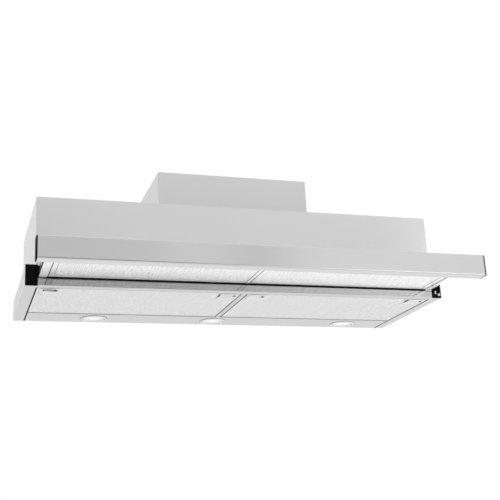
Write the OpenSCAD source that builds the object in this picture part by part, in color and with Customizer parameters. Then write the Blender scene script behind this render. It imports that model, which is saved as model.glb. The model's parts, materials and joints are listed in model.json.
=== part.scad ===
// Pull-out range hood for a 900 mm wall cabinet, in millimetres.
// X runs to the right, Y back to the wall and Z up.
// The origin is the middle of the back face, level with the cabinet's underside.
// The drawer is drawn pulled out, and every filter is drawn shut.

/* [Tray] */
// Width of the tray, which closes the cabinet from below
tray_w = 898; // [880:1:1100]
// Depth of the tray from its front edge to the wall
tray_d = 308; // [304:1:340]
// Height of the tray
tray_h = 42.4; // [42:0.1:50]
// Width of each hollow side channel
channel_w = 24; // [21:0.5:32]
// Height of the lip along the tray's front
lip_h = 13; // [9:0.5:14]
// How far the lip stands out in front of the tray
lip_out = 2.5; // [1.5:0.1:5]
// Depth of the shelf behind the lip
lip_shelf = 15.5; // [12:0.5:20]
// Width of the bar between the two tray filters
divider_w = 10.8; // [8:0.1:16]
// Depth of the lamp panel behind the filters
lamp_panel_d = 78; // [70:1:90]
// Height of the lamp panel's turned-up edges
lamp_panel_edge = 12; // [8:0.5:13]
// Thickness of the black end plates
end_plate_t = 3; // [2:0.1:5]
// Depth of the plugs that hold the end plates in the channels
plug_d = 9; // [6:0.5:14]

/* [Casing] */
// How far the tray's shoulders stand out beside the casing, under the cabinet's sides
shoulder_w = 20; // [17:0.5:22]
// Height of the casing above the tray
casing_h = 142.7; // [142:0.1:160]
// How far the casing's front stands back from the tray's front
casing_setback = 5.5; // [3:0.1:10]
// Thickness of the casing's sheet
sheet_t = 1; // [0.7:0.1:1.5]
// Outer radius of the sheet's bends
bend_r = 2; // [1.6:0.1:3]
// Width of the casing's turned-in edges
flange_w = 9; // [8:0.5:12]
// Distance between the side fixing holes along the depth
fixing_pitch_y = 200; // [120:1:240]
// Distance between the side fixing holes in height
fixing_pitch_z = 80; // [50:1:110]
// Radius of the side fixing holes
fixing_r = 2.5; // [2:0.1:3.5]

/* [Motor box] */
// Width of the motor box
motor_box_w = 337; // [300:1:420]
// Depth of the motor box
motor_box_d = 240.8; // [238:0.1:260]
// Height of the motor box above the casing
motor_box_h = 91.5; // [90:0.1:110]
// Distance from the wall to the motor box
motor_box_gap = 8; // [4:0.5:12]
// Width of the motor box's turned-in bottom edge
motor_flange_w = 12; // [10:0.5:13]

/* [Drawer] */
// How far the drawer slides in
drawer_travel = 169.5; // [150:0.5:172]
// Gap that is left between front panel and lip when the drawer is shut
shut_gap = 0.5; // [0.4:0.1:2]
// Height of the drawer's underside above the tray's underside
drawer_rise = 17.5; // [16.5:0.1:18]
// Height of the drawer's side walls
drawer_h = 20.5; // [20:0.1:21]
// Gap between the drawer's bottom strips and the channels
drawer_side_gap = 1.7; // [1:0.1:3]
// Width of the drawer's bottom strips
strip_w = 16.8; // [15.5:0.1:20]
// Depth of the beam behind the front panel
front_beam_d = 11.5; // [8:0.5:14]
// Depth of the drawer's two filter openings
window_d = 151; // [140:1:152]
// Depth of the beam behind the filter openings
middle_beam_d = 12; // [9:0.5:14]
// Height of the drawer's low beams
beam_h = 9; // [8:0.5:10]
// Distance from the wall to the drawer's frame when it is shut
drawer_rear_gap = 46; // [44:0.5:60]
// Depth of the bar at the frame's rear end
rear_bar_d = 9.5; // [6:0.5:12]
// Width of the bar between the two drawer filters
drawer_divider_w = 8.4; // [6:0.1:12]
// Depth of the cover plate on top of the drawer
top_plate_d = 182.5; // [175:0.5:200]
// Width of the ledges that carry the cover plate
ledge_w = 10; // [6:0.5:14]

/* [Front panel] */
// How far the front panel stops short of the tray at each end
panel_in = 2.5; // [0.5:0.1:8]
// Height of the front panel
panel_h = 42.9; // [42.5:0.1:44]
// Depth of the front panel
panel_d = 25; // [20:0.5:30]
// How far the front panel hangs below the tray
panel_drop = 2.9; // [2.5:0.1:3.5]
// Thickness of the front panel's sheet
panel_t = 1.2; // [0.8:0.1:1.5]
// Radius of the front panel's lower front edge
panel_edge_r = 3; // [2:0.1:5]
// Radius of the front panel's upper front edge
panel_top_r = 1.5; // [1:0.1:2.5]
// Bevel at each end of the front panel's face
panel_bevel = 2; // [1:0.1:3]
// Depth of the bevel at each end of the face
panel_bevel_d = 0.8; // [0.4:0.1:1]
// Thickness of the black end caps
panel_cap_t = 2.5; // [2:0.1:4]
// Height of the edge that screws the panel to the drawer
panel_rear_edge = 20; // [18:0.5:21]
// Height of the panel's lower rear edge
panel_low_edge = 6; // [4:0.5:8]

/* [Slides] */
// Height of the fixed slide member
slide_h = 17; // [16.5:0.1:17.2]
// Wall of the fixed slide member
slide_wall = 1.2; // [1:0.1:1.4]
// Wall of the middle and inner slide members
slide_thin = 1; // [0.8:0.1:1.1]
// Running gap between two slide members
slide_gap = 0.35; // [0.3:0.01:0.4]
// Reach of the fixed member's arms from the channel
slide_outer_reach = 9; // [7:0.5:10]
// Reach of the middle member's arms from the channel
slide_middle_reach = 13; // [12:0.1:13.2]
// Width of the whole slide
slide_w = 13.8; // [13.8:0.1:14.2]
// Distance from the wall to the fixed slide members
slide_rear_gap = 5.5; // [4:0.5:14]
// How much shorter the middle slide member is than the fixed one
slide_middle_less = 6; // [2:0.5:16]
// Distance from the rear end of the inner slide member to the rear end of the drawer
slide_inner_less = 3; // [2:0.5:14]

/* [Filters] */
// Thickness of every grease filter
filter_t = 9; // [8:0.1:9.5]
// Gap round a filter
filter_gap = 1.2; // [0.6:0.1:1.6]
// Bare edge round a tray filter's mesh
filter_border = 4; // [3:0.5:8]
// Bare edge at the outer end of a drawer filter's mesh
drawer_border = 14; // [10:0.5:18]
// Bare edge at the other three sides of a drawer filter's mesh
drawer_border_in = 7; // [5:0.5:10]
// Thickness of the filter frames' sheet
filter_sheet = 0.8; // [0.6:0.1:1]
// Thickness of each layer of the mesh packs
mesh_t = 1.2; // [0.8:0.1:2]
// Radius of the filters' hinge pins
hinge_pin_r = 1; // [0.9:0.05:1.05]
// Running gap of the hinge pins in their ears
hinge_gap = 0.08; // [0.05:0.01:0.1]
// Outer radius of the hinge ears
hinge_ear_r = 1.9; // [1.8:0.05:1.95]
// Distance from the hinge line to the edge that carries the ears
hinge_back = 1.5; // [1.4:0.05:1.6]
// Height of the hinge line above the filter's underside
hinge_up = 2; // [2:0.05:2.2]
// Distance from a filter's end to its hinge
hinge_inset = 30; // [20:1:60]

/* [Latches] */
// Width of a latch plate
latch_w = 39; // [34:0.5:44]
// Depth of a latch plate
latch_d = 42.5; // [38:0.5:48]
// Thickness of a latch plate
latch_t = 0.8; // [0.6:0.1:1]
// Distance from a filter's end to the middle of its nearer latch
latch_end = 24.6; // [24.2:0.1:60]
// Distance from a filter's front edge to the latch plate
latch_inset = 2.5; // [2:0.1:4]
// Width of the finger slot
finger_w = 25; // [20:0.5:30]
// Depth of the finger slot
finger_d = 4; // [3:0.1:4]
// Distance from the latch plate's front edge to the finger slot
finger_inset = 13; // [11:0.5:15]
// How far a latch slides back
latch_travel = 4; // [3:0.1:5]
// Gap between a latch and what it slides on
latch_gap = 0.2; // [0.15:0.05:0.4]
// Width of a latch bolt
bolt_w = 16; // [12:0.5:18]
// Thickness of a latch bolt
bolt_t = 3; // [2:0.1:3.5]
// How far a latch bolt stands out of the filter's front edge
bolt_out = 0.7; // [0.5:0.1:0.8]

/* [Lamps] */
// Distance from the tray's left end to the left lamp
lamp_left_in = 172.7; // [120:0.1:220]
// Place of the middle lamp across the hood
lamp_centre_x = -0.5; // [-40:0.1:40]
// Distance from the tray's right end to the right lamp
lamp_right_in = 125.3; // [110:0.1:220]
// Distance from the wall to the lamps' centres
lamp_back = 36; // [34:0.1:40]
// Outer radius of a lamp
lamp_r = 29; // [28:0.1:31]
// Radius of a lamp's body
lamp_body_r = 25.6; // [25.2:0.1:26.4]
// Radius of a lamp's lens
lens_r = 24.2; // [22:0.1:24.2]
// Wall of a lamp's body
lamp_wall = 1.2; // [1:0.05:1.4]
// Height of a lamp's body above the lamp panel
lamp_body_h = 13; // [10:0.5:14]
// Thickness of a lamp's rim
lamp_rim_t = 1.2; // [1:0.1:1.6]
// Radius of the two small holes in a lamp's rim
lamp_dot_r = 0.8; // [0.6:0.1:1]

/* [Controls] */
// Distance from the hood's right end to the fan slider
speed_in = 6.2; // [6:0.1:6.4]
// Height of the fan slider's knob above the tray's underside
speed_up = 6.9; // [6:0.1:8]
// Travel of the fan slider
speed_travel = 18; // [15:0.5:20]
// Distance from the hood's right end to the lamp switch
switch_in = 14.5; // [14:0.1:15.5]
// Height of the lamp switch's knob above the tray's underside
switch_up = 11.5; // [9:0.1:14]
// Travel of the lamp switch
switch_travel = 6; // [4:0.5:8]
// Size of the fan slider's knob
speed_knob = 5; // [4:0.1:5.6]
// Height of the lamp switch's knob
switch_knob_h = 6.8; // [5:0.1:8]
// Width of the lamp switch's knob
switch_knob_w = 3; // [2.4:0.1:4]
// How far the knobs stand out
knob_out = 2; // [1.2:0.1:2.4]
// Gap round a sliding knob
knob_gap = 0.3; // [0.2:0.05:0.4]

/* [Fan] */
// Distance from the wall to the fan's axis
fan_back = 147; // [146:0.5:148]
// Height of the fan's axis above the tray
fan_up = 113; // [112:0.5:114]
// Radius of the impeller
impeller_r = 69; // [64:0.5:69.5]
// Length of the impeller
impeller_l = 116; // [100:1:118]
// Number of impeller blades
blade_count = 30; // [20:1:36]
// Radial height of the blades
blade_h = 12; // [10:0.5:13]
// Thickness of a blade
blade_t = 0.8; // [0.6:0.1:1.2]
// Radius of a blade's curve
blade_curve_r = 9.5; // [9:0.1:10.5]
// Smallest gap between impeller and scroll
scroll_gap = 7; // [5:0.5:8]
// How much the scroll's radius grows on its way round
scroll_growth = 42; // [34:0.5:43]
// Angle at which the scroll starts
tongue_a = 70; // [64:1:74]
// Wall of the scroll
volute_t = 2; // [1.5:0.1:2.5]
// Inside width of the scroll
volute_w = 124; // [120:1:130]
// Radius of the scroll's two inlets
inlet_r = 60; // [54:0.5:61]
// Height of the scroll's outlet above the fan's axis
outlet_up = 78; // [77:0.5:82]
// Radius of the motor
motor_r = 40; // [36:0.5:44]
// Radius of the motor's shaft
shaft_r = 4; // [3:0.1:5]
// Running gap of the shaft in the impeller's hub
shaft_gap = 0.05; // [0.02:0.01:0.1]

/* [Outlet] */
// Outer radius of the collar, for a duct of 150 mm
collar_r = 74.5; // [72:0.1:75]
// Height of the collar above its flange
collar_h = 17.5; // [15:0.5:30]
// Wall of the collar
collar_t = 2; // [1.6:0.1:2.4]
// Distance from the wall to the collar's axis
collar_back = 98; // [97:0.5:110]
// Radius of the collar's flange
collar_flange_r = 88; // [86.5:0.5:90]
// Radius of the non-return flaps' hinge pin
flap_pin_r = 2; // [1.5:0.1:2.2]
// Thickness of the non-return flaps
flap_t = 1.5; // [1:0.1:1.8]
// Radius of the flaps' hinge knuckles
knuckle_r = 3.2; // [3:0.1:3.4]
// Width of the flaps' hinge knuckles
knuckle_w = 18; // [14:0.5:18]

/* [Electronics] */
// Width of the electronics box
box_w = 110; // [100:1:130]
// Depth of the electronics box
box_d = 80; // [74:1:95]
// Height of the electronics box
box_h = 35; // [34:0.5:45]
// Wall of the electronics box
box_wall = 2; // [1.5:0.1:2.5]
// Distance from the casing's left side to the electronics box
box_in = 29; // [20:1:60]
// Distance from the wall to the electronics box
box_back = 50; // [40:1:120]
// Thickness of the circuit board
board_t = 1.6; // [1:0.1:2]
// Bore of the cable gland
gland_bore_r = 4; // [3:0.1:5]
// Radius of the cable gland's thread
gland_r = 8; // [7:0.1:9]
// Place of the microswitch to the left of the hood's middle
microswitch_left = 150; // [60:1:200]
// Travel of the microswitch's plunger
plunger_travel = 3; // [2:0.1:3.4]
// Gap between the shut drawer and the plunger
plunger_gap = 0.5; // [0.4:0.1:1]

/* [Screws] */
// Radius of the screws
screw_r = 2; // [1.5:0.1:2.2]
// Gap of the screws in their holes
screw_gap = 0.15; // [0.1:0.05:0.3]
// Radius of the screw heads
screw_head_r = 3.6; // [3:0.1:3.8]
// Height of the screw heads
screw_head_h = 2.2; // [1.6:0.1:2.6]
// Length of the screws below the head
screw_l = 5; // [4.5:0.1:5.5]
// Distance from a row's end to its first screw
screw_end = 30; // [20:1:50]

/* [Hidden] */
$fn = 64;

// How far a cutting shape runs past the wall that it cuts
cut = 1;
// Gap that lets two fixed pieces slide together
fit = 0.2;

// Tray
bottom = -tray_h;
front = -tray_d;
half_tray = tray_w / 2;
channel_in = half_tray - channel_w;
shelf_back = front + lip_shelf;
lamp_front = -lamp_panel_d;
channel_top_in = channel_in - slide_w + 0.8;

// Casing and motor box
half_casing = half_tray - shoulder_w;
casing_front = front + casing_setback;
half_motor = motor_box_w / 2;
motor_back = -motor_box_gap;
motor_front = motor_back - motor_box_d;
motor_top = casing_h + motor_box_h;
back_half = channel_top_in - fit;
SCREW_ROWS = [0, 1, 2];

// Drawer
panel_back = front - lip_out - shut_gap - drawer_travel;
panel_front = panel_back - panel_d;
panel_bottom = bottom - panel_drop;
panel_top = panel_bottom + panel_h;
half_panel = half_tray - panel_in;
drawer_low = bottom + drawer_rise;
drawer_top = drawer_low + drawer_h;
window_front = panel_back + front_beam_d;
window_back = window_front + window_d;
drawer_back = -drawer_rear_gap - drawer_travel;
strip_out = channel_in - drawer_side_gap;
strip_in = strip_out - strip_w;
drawer_wall = channel_in - slide_w;

// Slides
slide_z = drawer_low + sheet_t + 0.4 + slide_h / 2;
slide_front_gap = 0.5;
slide_y = front + end_plate_t + plug_d + slide_front_gap;
slide_rear_y = -slide_rear_gap;
slide_middle_l = slide_rear_y - slide_y - slide_middle_less;
slide_middle_half = slide_h / 2 - slide_wall - slide_gap;
slide_inner_half = slide_middle_half - slide_thin - slide_gap;

// Filters
filter_back = lamp_front - hinge_back - hinge_ear_r - 0.5;
filter_front = shelf_back + 1.5;
filter_in = divider_w / 2 + filter_gap;
filter_half = (channel_in - filter_gap - filter_in) / 2;
filter_x = filter_in + filter_half;
drawer_filter_in = drawer_divider_w / 2 + filter_gap;
drawer_filter_half = (strip_in - filter_gap - drawer_filter_in) / 2;
drawer_filter_x = drawer_filter_in + drawer_filter_half;
drawer_filter_front = window_front + filter_gap;
drawer_filter_back = window_back - hinge_back - hinge_ear_r - 0.5;
latch_off = filter_half - latch_end;
latch_pocket = latch_w / 2 + 2.5;
latch_pocket_d = latch_inset + latch_d + latch_travel + 1;
lug_r = hinge_pin_r + 0.2;
lug_w = 3;
ear_w = 4;

// Lamps
lamp_left_x = lamp_left_in - half_tray;
lamp_right_x = half_tray - lamp_right_in;
LAMP_X = [lamp_left_x, lamp_centre_x, lamp_right_x];
lamp_y = -lamp_back;

// Controls
speed_x = half_tray - speed_in;
switch_x = half_tray - switch_in;

// Fan
fan_y = -fan_back;
half_volute = volute_w / 2;
scroll_start_r = impeller_r + scroll_gap;
scroll_end_r = scroll_start_r + scroll_growth;
tongue_y = scroll_start_r * cos(tongue_a);
outlet_z = fan_up + outlet_up;
mouth_t = 3;
bracket_x = half_volute + volute_t + mouth_t;
bracket_t = 2;
motor_face = 8;
hub_r = 12;
hub_left = -12;
hub_right = 4;
disc_t = 2;
ring_t = 2;
ring_h = 7;

// Outlet
collar_y = -collar_back;
collar_flange_t = 2;
collar_sleeve_h = 6;
hole_r = collar_r - 1.5;
sleeve_r = hole_r - 0.4;
collar_bore_r = collar_r - collar_t;
collar_base = motor_top + collar_flange_t;
transition_r = hole_r + 2;
transition_ring_h = 7;
flap_z = collar_base + 0.3 + flap_t / 2;
flap_r = collar_bore_r - 0.6;
flap_pin_half = sleeve_r - collar_t - 0.6;
boss_w = 5.6;
boss_half = 4;
collar_screw_r = (collar_flange_r + collar_r) / 2 + 0.4;

// Electronics
box_top = casing_h - sheet_t;
box_floor = box_top - box_h;
board_z = box_floor + box_wall + 3.5;
board_top = board_z + board_t;
box_left_x = box_in - half_casing;
box_right_x = box_left_x + box_w;
box_back_y = -box_back;
box_front_y = box_back_y - box_d;
microswitch_w = 20;
microswitch_h = 8;
microswitch_d = 20;
plunger_out = plunger_travel + 0.5;
plunger_r = 1.5;
plunger_l = 9;
plunger_tip = drawer_back + drawer_travel + plunger_gap;
microswitch_front = plunger_tip + plunger_out;
microswitch_z = drawer_low + beam_h / 2;

// A block between two corners
module block(low, high) {
  translate(low) cube(high - low);
}

// A rectangle between two corners
module span(low, high) {
  translate(low) square(high - low);
}

// An outline in Y and Z, drawn out along X
module along_x(start, end) {
  translate([start, 0, 0]) rotate([90, 0, 90]) linear_extrude(end - start) children();
}

// An outline in X and Z, drawn out along Y
module along_y(start, end) {
  translate([0, end, 0]) rotate([90, 0, 0]) linear_extrude(end - start) children();
}

// The right-hand shape, or its mirror image for the left
module on_side(side) {
  if (side > 0) {
    children();
  } else {
    mirror([1, 0, 0]) children();
  }
}

// Takes a sharp corner off an outline; out gives the signs of the corner's direction
module round_corner(corner, r, out) {
  centre = corner - r * out;
  reach = r + cut;
  difference() {
    translate(centre - [out.x < 0 ? reach : 0, out.y < 0 ? reach : 0]) square(reach);
    translate(centre) circle(r);
  }
}

// Places along a row of screws between two ends
function screw_row(start, end) = [
  for (i = SCREW_ROWS) start + screw_end + i * (end - start - 2 * screw_end) / (len(SCREW_ROWS) - 1)
];

// A pan-head screw that points down from the origin
module screw(length = screw_l) {
  translate([0, 0, -length]) cylinder(r = screw_r, h = length);
  rotate_extrude() difference() {
    span([0, 0], [screw_head_r, screw_head_h]);
    round_corner([screw_head_r, screw_head_h], 1, [1, 1]);
  }
}

// A hole for a screw, through what lies within the depth above and below the origin
module screw_hole(depth) {
  translate([0, 0, -depth]) cylinder(r = screw_r + screw_gap, h = 2 * depth);
}

casing_screw_x = half_casing - sheet_t - screw_head_r - 2 * fit;
CASING_ROW = screw_row(casing_front, 0);
motor_screw_x = half_motor - motor_flange_w / 2;
MOTOR_ROW = screw_row(motor_front, motor_back);

// ---- Casing and motor box ----

// The casing's plan, taken in on all sides but the back
module casing_plan(inset, back) {
  half = half_casing - inset;
  difference() {
    span([-half, casing_front + inset], [half, back]);
    for (side = [-1, 1]) round_corner([side * half, casing_front + inset], bend_r - inset, [side, -1]);
  }
}

module upper_casing() {
  color([0.80, 0.80, 0.80]) difference() {
    linear_extrude(casing_h) casing_plan(0, 0);
    translate([0, 0, sheet_t]) linear_extrude(casing_h) casing_plan(sheet_t, cut);
    block(
      [-half_casing + flange_w, casing_front + flange_w, -cut],
      [half_casing - flange_w, cut, sheet_t + cut]
    );
    for (side = [-1, 1]) {
      for (y = CASING_ROW) translate([side * casing_screw_x, y, 0]) screw_hole(screw_l);
      for (dy = [-1, 1], dz = [-1, 1]) {
        translate([
          side * (half_casing - sheet_t / 2), casing_front / 2 + dy * fixing_pitch_y / 2,
          casing_h / 2 + dz * fixing_pitch_z / 2
        ]) rotate([0, 90, 0]) cylinder(r = fixing_r, h = 4 * sheet_t, center = true);
      }
    }
  }
}

module casing_top() {
  in_x = half_casing - sheet_t;
  edge_low = casing_h - flange_w;
  color([0.79, 0.79, 0.79]) difference() {
    translate([0, 0, edge_low]) linear_extrude(flange_w) casing_plan(sheet_t, -sheet_t);
    block(
      [-in_x + sheet_t, casing_front + 2 * sheet_t, edge_low - cut],
      [in_x - sheet_t, -2 * sheet_t, casing_h - sheet_t]
    );
    block(
      [-half_motor + motor_flange_w, motor_front + motor_flange_w, casing_h - sheet_t - cut],
      [half_motor - motor_flange_w, motor_back - motor_flange_w, casing_h + cut]
    );
    for (side = [-1, 1], y = MOTOR_ROW) translate([side * motor_screw_x, y, casing_h]) screw_hole(screw_l);
    translate([gland_x, gland_y, casing_h]) cylinder(r = gland_r + fit, h = 4 * sheet_t, center = true);
  }
}

// The casing's back, which runs on down behind the tray between the channels
module casing_back() {
  in_x = half_casing - sheet_t;
  color([0.79, 0.79, 0.79]) union() {
    block([-in_x, -sheet_t, sheet_t], [in_x, 0, casing_h]);
    block([-back_half, -sheet_t, bottom], [back_half, 0, casing_h]);
  }
}

// The motor box's plan, taken in on all sides
module motor_plan(inset) {
  half = half_motor - inset;
  ends = [motor_front + inset, motor_back - inset];
  difference() {
    span([-half, ends[0]], [half, ends[1]]);
    for (side = [-1, 1], end = [0, 1]) round_corner([side * half, ends[end]], bend_r - inset, [side, 2 * end - 1]);
  }
}

module motor_housing() {
  color([0.78, 0.78, 0.78]) difference() {
    translate([0, 0, casing_h]) linear_extrude(motor_box_h) motor_plan(0);
    translate([0, 0, casing_h + sheet_t]) linear_extrude(motor_box_h - 2 * sheet_t) motor_plan(sheet_t);
    block(
      [-half_motor + motor_flange_w, motor_front + motor_flange_w, casing_h - cut],
      [half_motor - motor_flange_w, motor_back - motor_flange_w, casing_h + sheet_t + cut]
    );
    translate([0, collar_y, motor_top]) cylinder(r = hole_r, h = 4 * sheet_t, center = true);
    collar_screw_places() screw_hole(2 * sheet_t + collar_flange_t);
    for (side = [-1, 1], y = MOTOR_ROW) translate([side * motor_screw_x, y, casing_h]) screw_hole(screw_l);
  }
}

// ---- Tray ----

module side_channel(side) {
  slot_z = drawer_top - 1.5;
  color([0.84, 0.84, 0.84]) on_side(side) difference() {
    along_y(front + end_plate_t, 0) difference() {
      union() {
        span([half_tray - sheet_t, bottom], [half_tray, 0]);
        span([channel_top_in, -sheet_t], [half_tray, 0]);
        span([channel_in, bottom], [half_tray, bottom + sheet_t]);
        span([channel_in, bottom], [channel_in + sheet_t, slot_z]);
      }
      round_corner([half_tray, bottom], sheet_t, [1, -1]);
      round_corner([half_tray, 0], sheet_t, [1, 1]);
    }
    for (y = CASING_ROW) translate([casing_screw_x, y, 0]) screw_hole(screw_l);
  }
}

module left_side_channel() {
  side_channel(-1);
}

module right_side_channel() {
  side_channel(1);
}

// Two ears on an edge that faces the front at the height of a filter's underside
module hinge_ears(centre_x, half_w, edge_y, under_z) {
  for (side = [-1, 1]) {
    x = centre_x + side * (half_w - hinge_inset) + (lug_w + knob_gap);
    along_x(x, x + ear_w) translate([edge_y - hinge_back, under_z + hinge_up]) difference() {
      union() {
        circle(hinge_ear_r);
        span([0, -hinge_ear_r], [hinge_back + sheet_t / 2, hinge_ear_r]);
      }
      circle(hinge_pin_r + hinge_gap);
    }
  }
}

module lamp_panel() {
  half = channel_in - filter_gap;
  color([0.83, 0.83, 0.83]) {
    difference() {
      block([-half, lamp_front, bottom], [half, -sheet_t, bottom + lamp_panel_edge]);
      block(
        [-half - cut, lamp_front + sheet_t, bottom + sheet_t],
        [half + cut, -2 * sheet_t, bottom + lamp_panel_edge + cut]
      );
      for (x = LAMP_X) translate([x, lamp_y, bottom]) cylinder(r = lamp_body_r + fit, h = 4 * sheet_t, center = true);
      for (side = [-1, 1]) {
        hinge_clearance(side * filter_x, filter_half, lamp_front, bottom);
      }
    }
    for (side = [-1, 1]) hinge_ears(side * filter_x, filter_half, lamp_front, bottom);
  }
}

// Room for the pins in the edge that carries the ears
module hinge_clearance(centre_x, half_w, edge_y, under_z) {
  for (side = [-1, 1]) {
    x = centre_x + side * (half_w - hinge_inset);
    along_x(x + lug_w + knob_gap, x + lug_w + knob_gap + ear_w)
      translate([edge_y - hinge_back, under_z + hinge_up]) circle(hinge_pin_r + hinge_gap);
  }
}

module front_lip() {
  half = channel_in - fit;
  lip_front = front - lip_out;
  lip_top = bottom + lip_h;
  color([0.70, 0.70, 0.71]) along_x(-half, half) difference() {
    union() {
      span([lip_front, bottom], [lip_front + sheet_t, lip_top]);
      span([lip_front, lip_top - sheet_t], [front + 10, lip_top]);
      span([lip_front, bottom], [shelf_back, bottom + sheet_t]);
      span([shelf_back - sheet_t, bottom], [shelf_back, bottom + 4]);
    }
    round_corner([lip_front, bottom], sheet_t, [-1, -1]);
    round_corner([lip_front, lip_top], sheet_t, [-1, 1]);
  }
}

module lip_seal() {
  lip_top = bottom + lip_h;
  seal_half = channel_top_in + 1;
  color([0.03, 0.03, 0.03]) along_x(-seal_half, seal_half) difference() {
    span([front + 5, lip_top], [front + 9, drawer_low - 0.3]);
    round_corner([front + 5, drawer_low - 0.3], 1, [-1, 1]);
    round_corner([front + 9, drawer_low - 0.3], 1, [1, 1]);
  }
}

module filter_divider() {
  half = divider_w / 2;
  color([0.84, 0.84, 0.84]) along_y(shelf_back, lamp_front) {
    span([-half, bottom], [half, bottom + sheet_t]);
    span([-sheet_t / 2, bottom], [sheet_t / 2, bottom + lamp_panel_edge]);
    span([-half, bottom + lamp_panel_edge - sheet_t], [half, bottom + lamp_panel_edge]);
  }
}

// ---- End plates and controls ----

module end_plate_solid() {
  low = [channel_in, bottom];
  high = [half_tray, 0];
  inner_low = low + [sheet_t + fit, sheet_t + fit];
  inner_high = high - [sheet_t + fit, sheet_t + fit];
  along_y(front, front + end_plate_t) difference() {
    span(low, high);
    round_corner([high.x, low.y], sheet_t, [1, -1]);
    round_corner(high, sheet_t, [1, 1]);
  }
  along_y(front + end_plate_t, front + end_plate_t + plug_d) difference() {
    span(inner_low, inner_high);
    span(inner_low + [1.5, 1.5], inner_high - [1.5, 1.5]);
  }
}

module left_end_plate() {
  color([0.04, 0.04, 0.04]) on_side(-1) end_plate_solid();
}

// Slot for a sliding knob: neck is the size of the knob's neck, travel how far it goes up
module knob_slot(x, z, neck, travel) {
  half = neck / 2 + [knob_gap, knob_gap];
  along_y(front - cut, front + end_plate_t + cut)
    span([x, z] - half, [x, z + travel] + half);
}

SPEED_NECK = [1.6, 3];
SWITCH_NECK = [1.6, 4];

module right_control_plate() {
  color([0.04, 0.04, 0.04]) difference() {
    end_plate_solid();
    knob_slot(speed_x, bottom + speed_up, SPEED_NECK, speed_travel);
    knob_slot(switch_x, bottom + switch_up, SWITCH_NECK, switch_travel);
  }
}

// A knob in front of the plate, its neck, and the foot that keeps it in
module sliding_knob(x, z, size, neck) {
  foot = neck / 2 + [1, 1];
  foot_y = front + end_plate_t + knob_gap;
  knob_y = front - knob_gap;
  translate([x, 0, z]) {
    difference() {
      along_y(knob_y - knob_out, knob_y) difference() {
        span(-size / 2, size / 2);
        for (sx = [-1, 1], sz = [-1, 1]) {
          round_corner([sx * size.x / 2, sz * size.y / 2], 0.6, [sx, sz]);
        }
      }
      for (groove = [-1, 0, 1]) {
        along_x(-size.x, size.x) translate([knob_y - knob_out, groove * size.y / 4]) circle(0.35);
      }
    }
    along_y(knob_y, foot_y) span(-neck / 2, neck / 2);
    along_y(foot_y, foot_y + 1.5) span(-foot, foot);
  }
}

module speed_slider() {
  color([0.85, 0.85, 0.85]) sliding_knob(speed_x, bottom + speed_up, [speed_knob, speed_knob], SPEED_NECK);
}

module lamp_switch() {
  color([0.85, 0.85, 0.85])
    sliding_knob(switch_x, bottom + switch_up, [switch_knob_w, switch_knob_h], SWITCH_NECK);
}

// ---- Slides ----

// A channel section that opens towards the drawer, or away from it
module slide_section(back, reach, half_h, wall, opens_in) {
  web = opens_in ? [back, back + wall] : [reach - wall, reach];
  span([channel_in - web[1], slide_z - half_h], [channel_in - web[0], slide_z + half_h]);
  for (s = [-1, 1]) {
    low = s > 0 ? slide_z + half_h - wall : slide_z - half_h;
    span([channel_in - reach, low], [channel_in - back, low + wall]);
  }
}

module outer_slide(side) {
  color([0.72, 0.73, 0.74]) on_side(side)
    along_y(slide_y, slide_rear_y) slide_section(0, slide_outer_reach, slide_h / 2, slide_wall, true);
}

module left_outer_slide() {
  outer_slide(-1);
}

module right_outer_slide() {
  outer_slide(1);
}

module middle_slide(side) {
  start = slide_y + 1 - drawer_travel / 2;
  color([0.66, 0.67, 0.68]) on_side(side) along_y(start, start + slide_middle_l)
    slide_section(slide_wall + slide_gap, slide_middle_reach, slide_middle_half, slide_thin, true);
}

module left_middle_slide() {
  middle_slide(-1);
}

module right_middle_slide() {
  middle_slide(1);
}

module inner_slide(side) {
  start = panel_back + front_beam_d / 2;
  color([0.72, 0.73, 0.74]) on_side(side) along_y(start, drawer_back - slide_inner_less) slide_section(
    slide_wall + slide_thin + 2 * slide_gap, slide_w, slide_inner_half, slide_thin, false
  );
}

module left_inner_slide() {
  inner_slide(-1);
}

module right_inner_slide() {
  inner_slide(1);
}

// ---- Drawer ----

// A low cross beam: a bottom strip with an upright web at its front
module cross_beam(start, depth, half_w, height) {
  block([-half_w, start, drawer_low], [half_w, start + depth, drawer_low + sheet_t]);
  block([-half_w, start, drawer_low], [half_w, start + sheet_t, drawer_low + height]);
}

PANEL_SCREWS = [-3, -1, 1, 3];
panel_screw_pitch = half_panel / 4;
panel_screw_z = (drawer_top + panel_top - panel_rear_edge) / 2;

module panel_screw_places() {
  for (i = PANEL_SCREWS) {
    translate([i * panel_screw_pitch, panel_back + sheet_t, panel_screw_z]) rotate([-90, 0, 0]) children();
  }
}

module drawer_frame() {
  color([0.82, 0.82, 0.82]) difference() {
    union() {
      for (side = [-1, 1]) on_side(side) along_y(panel_back, drawer_back) {
        span([strip_in, drawer_low], [strip_out, drawer_low + sheet_t]);
        span([drawer_wall - sheet_t, drawer_low], [drawer_wall, drawer_top]);
        span([drawer_wall - ledge_w, drawer_top - sheet_t], [drawer_wall, drawer_top]);
      }
      cross_beam(panel_back, front_beam_d, drawer_wall, drawer_h);
      cross_beam(window_back, middle_beam_d, drawer_wall, beam_h);
      cross_beam(drawer_back - rear_bar_d, rear_bar_d, drawer_wall, beam_h);
      along_y(window_front, window_back) {
        span([-drawer_divider_w / 2, drawer_low], [drawer_divider_w / 2, drawer_low + sheet_t]);
        span([-sheet_t / 2, drawer_low], [sheet_t / 2, drawer_low + beam_h]);
      }
      for (side = [-1, 1]) hinge_ears(side * drawer_filter_x, drawer_filter_half, window_back, drawer_low);
    }
    for (side = [-1, 1]) hinge_clearance(side * drawer_filter_x, drawer_filter_half, window_back, drawer_low);
    panel_screw_places() screw_hole(screw_l);
  }
}

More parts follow.
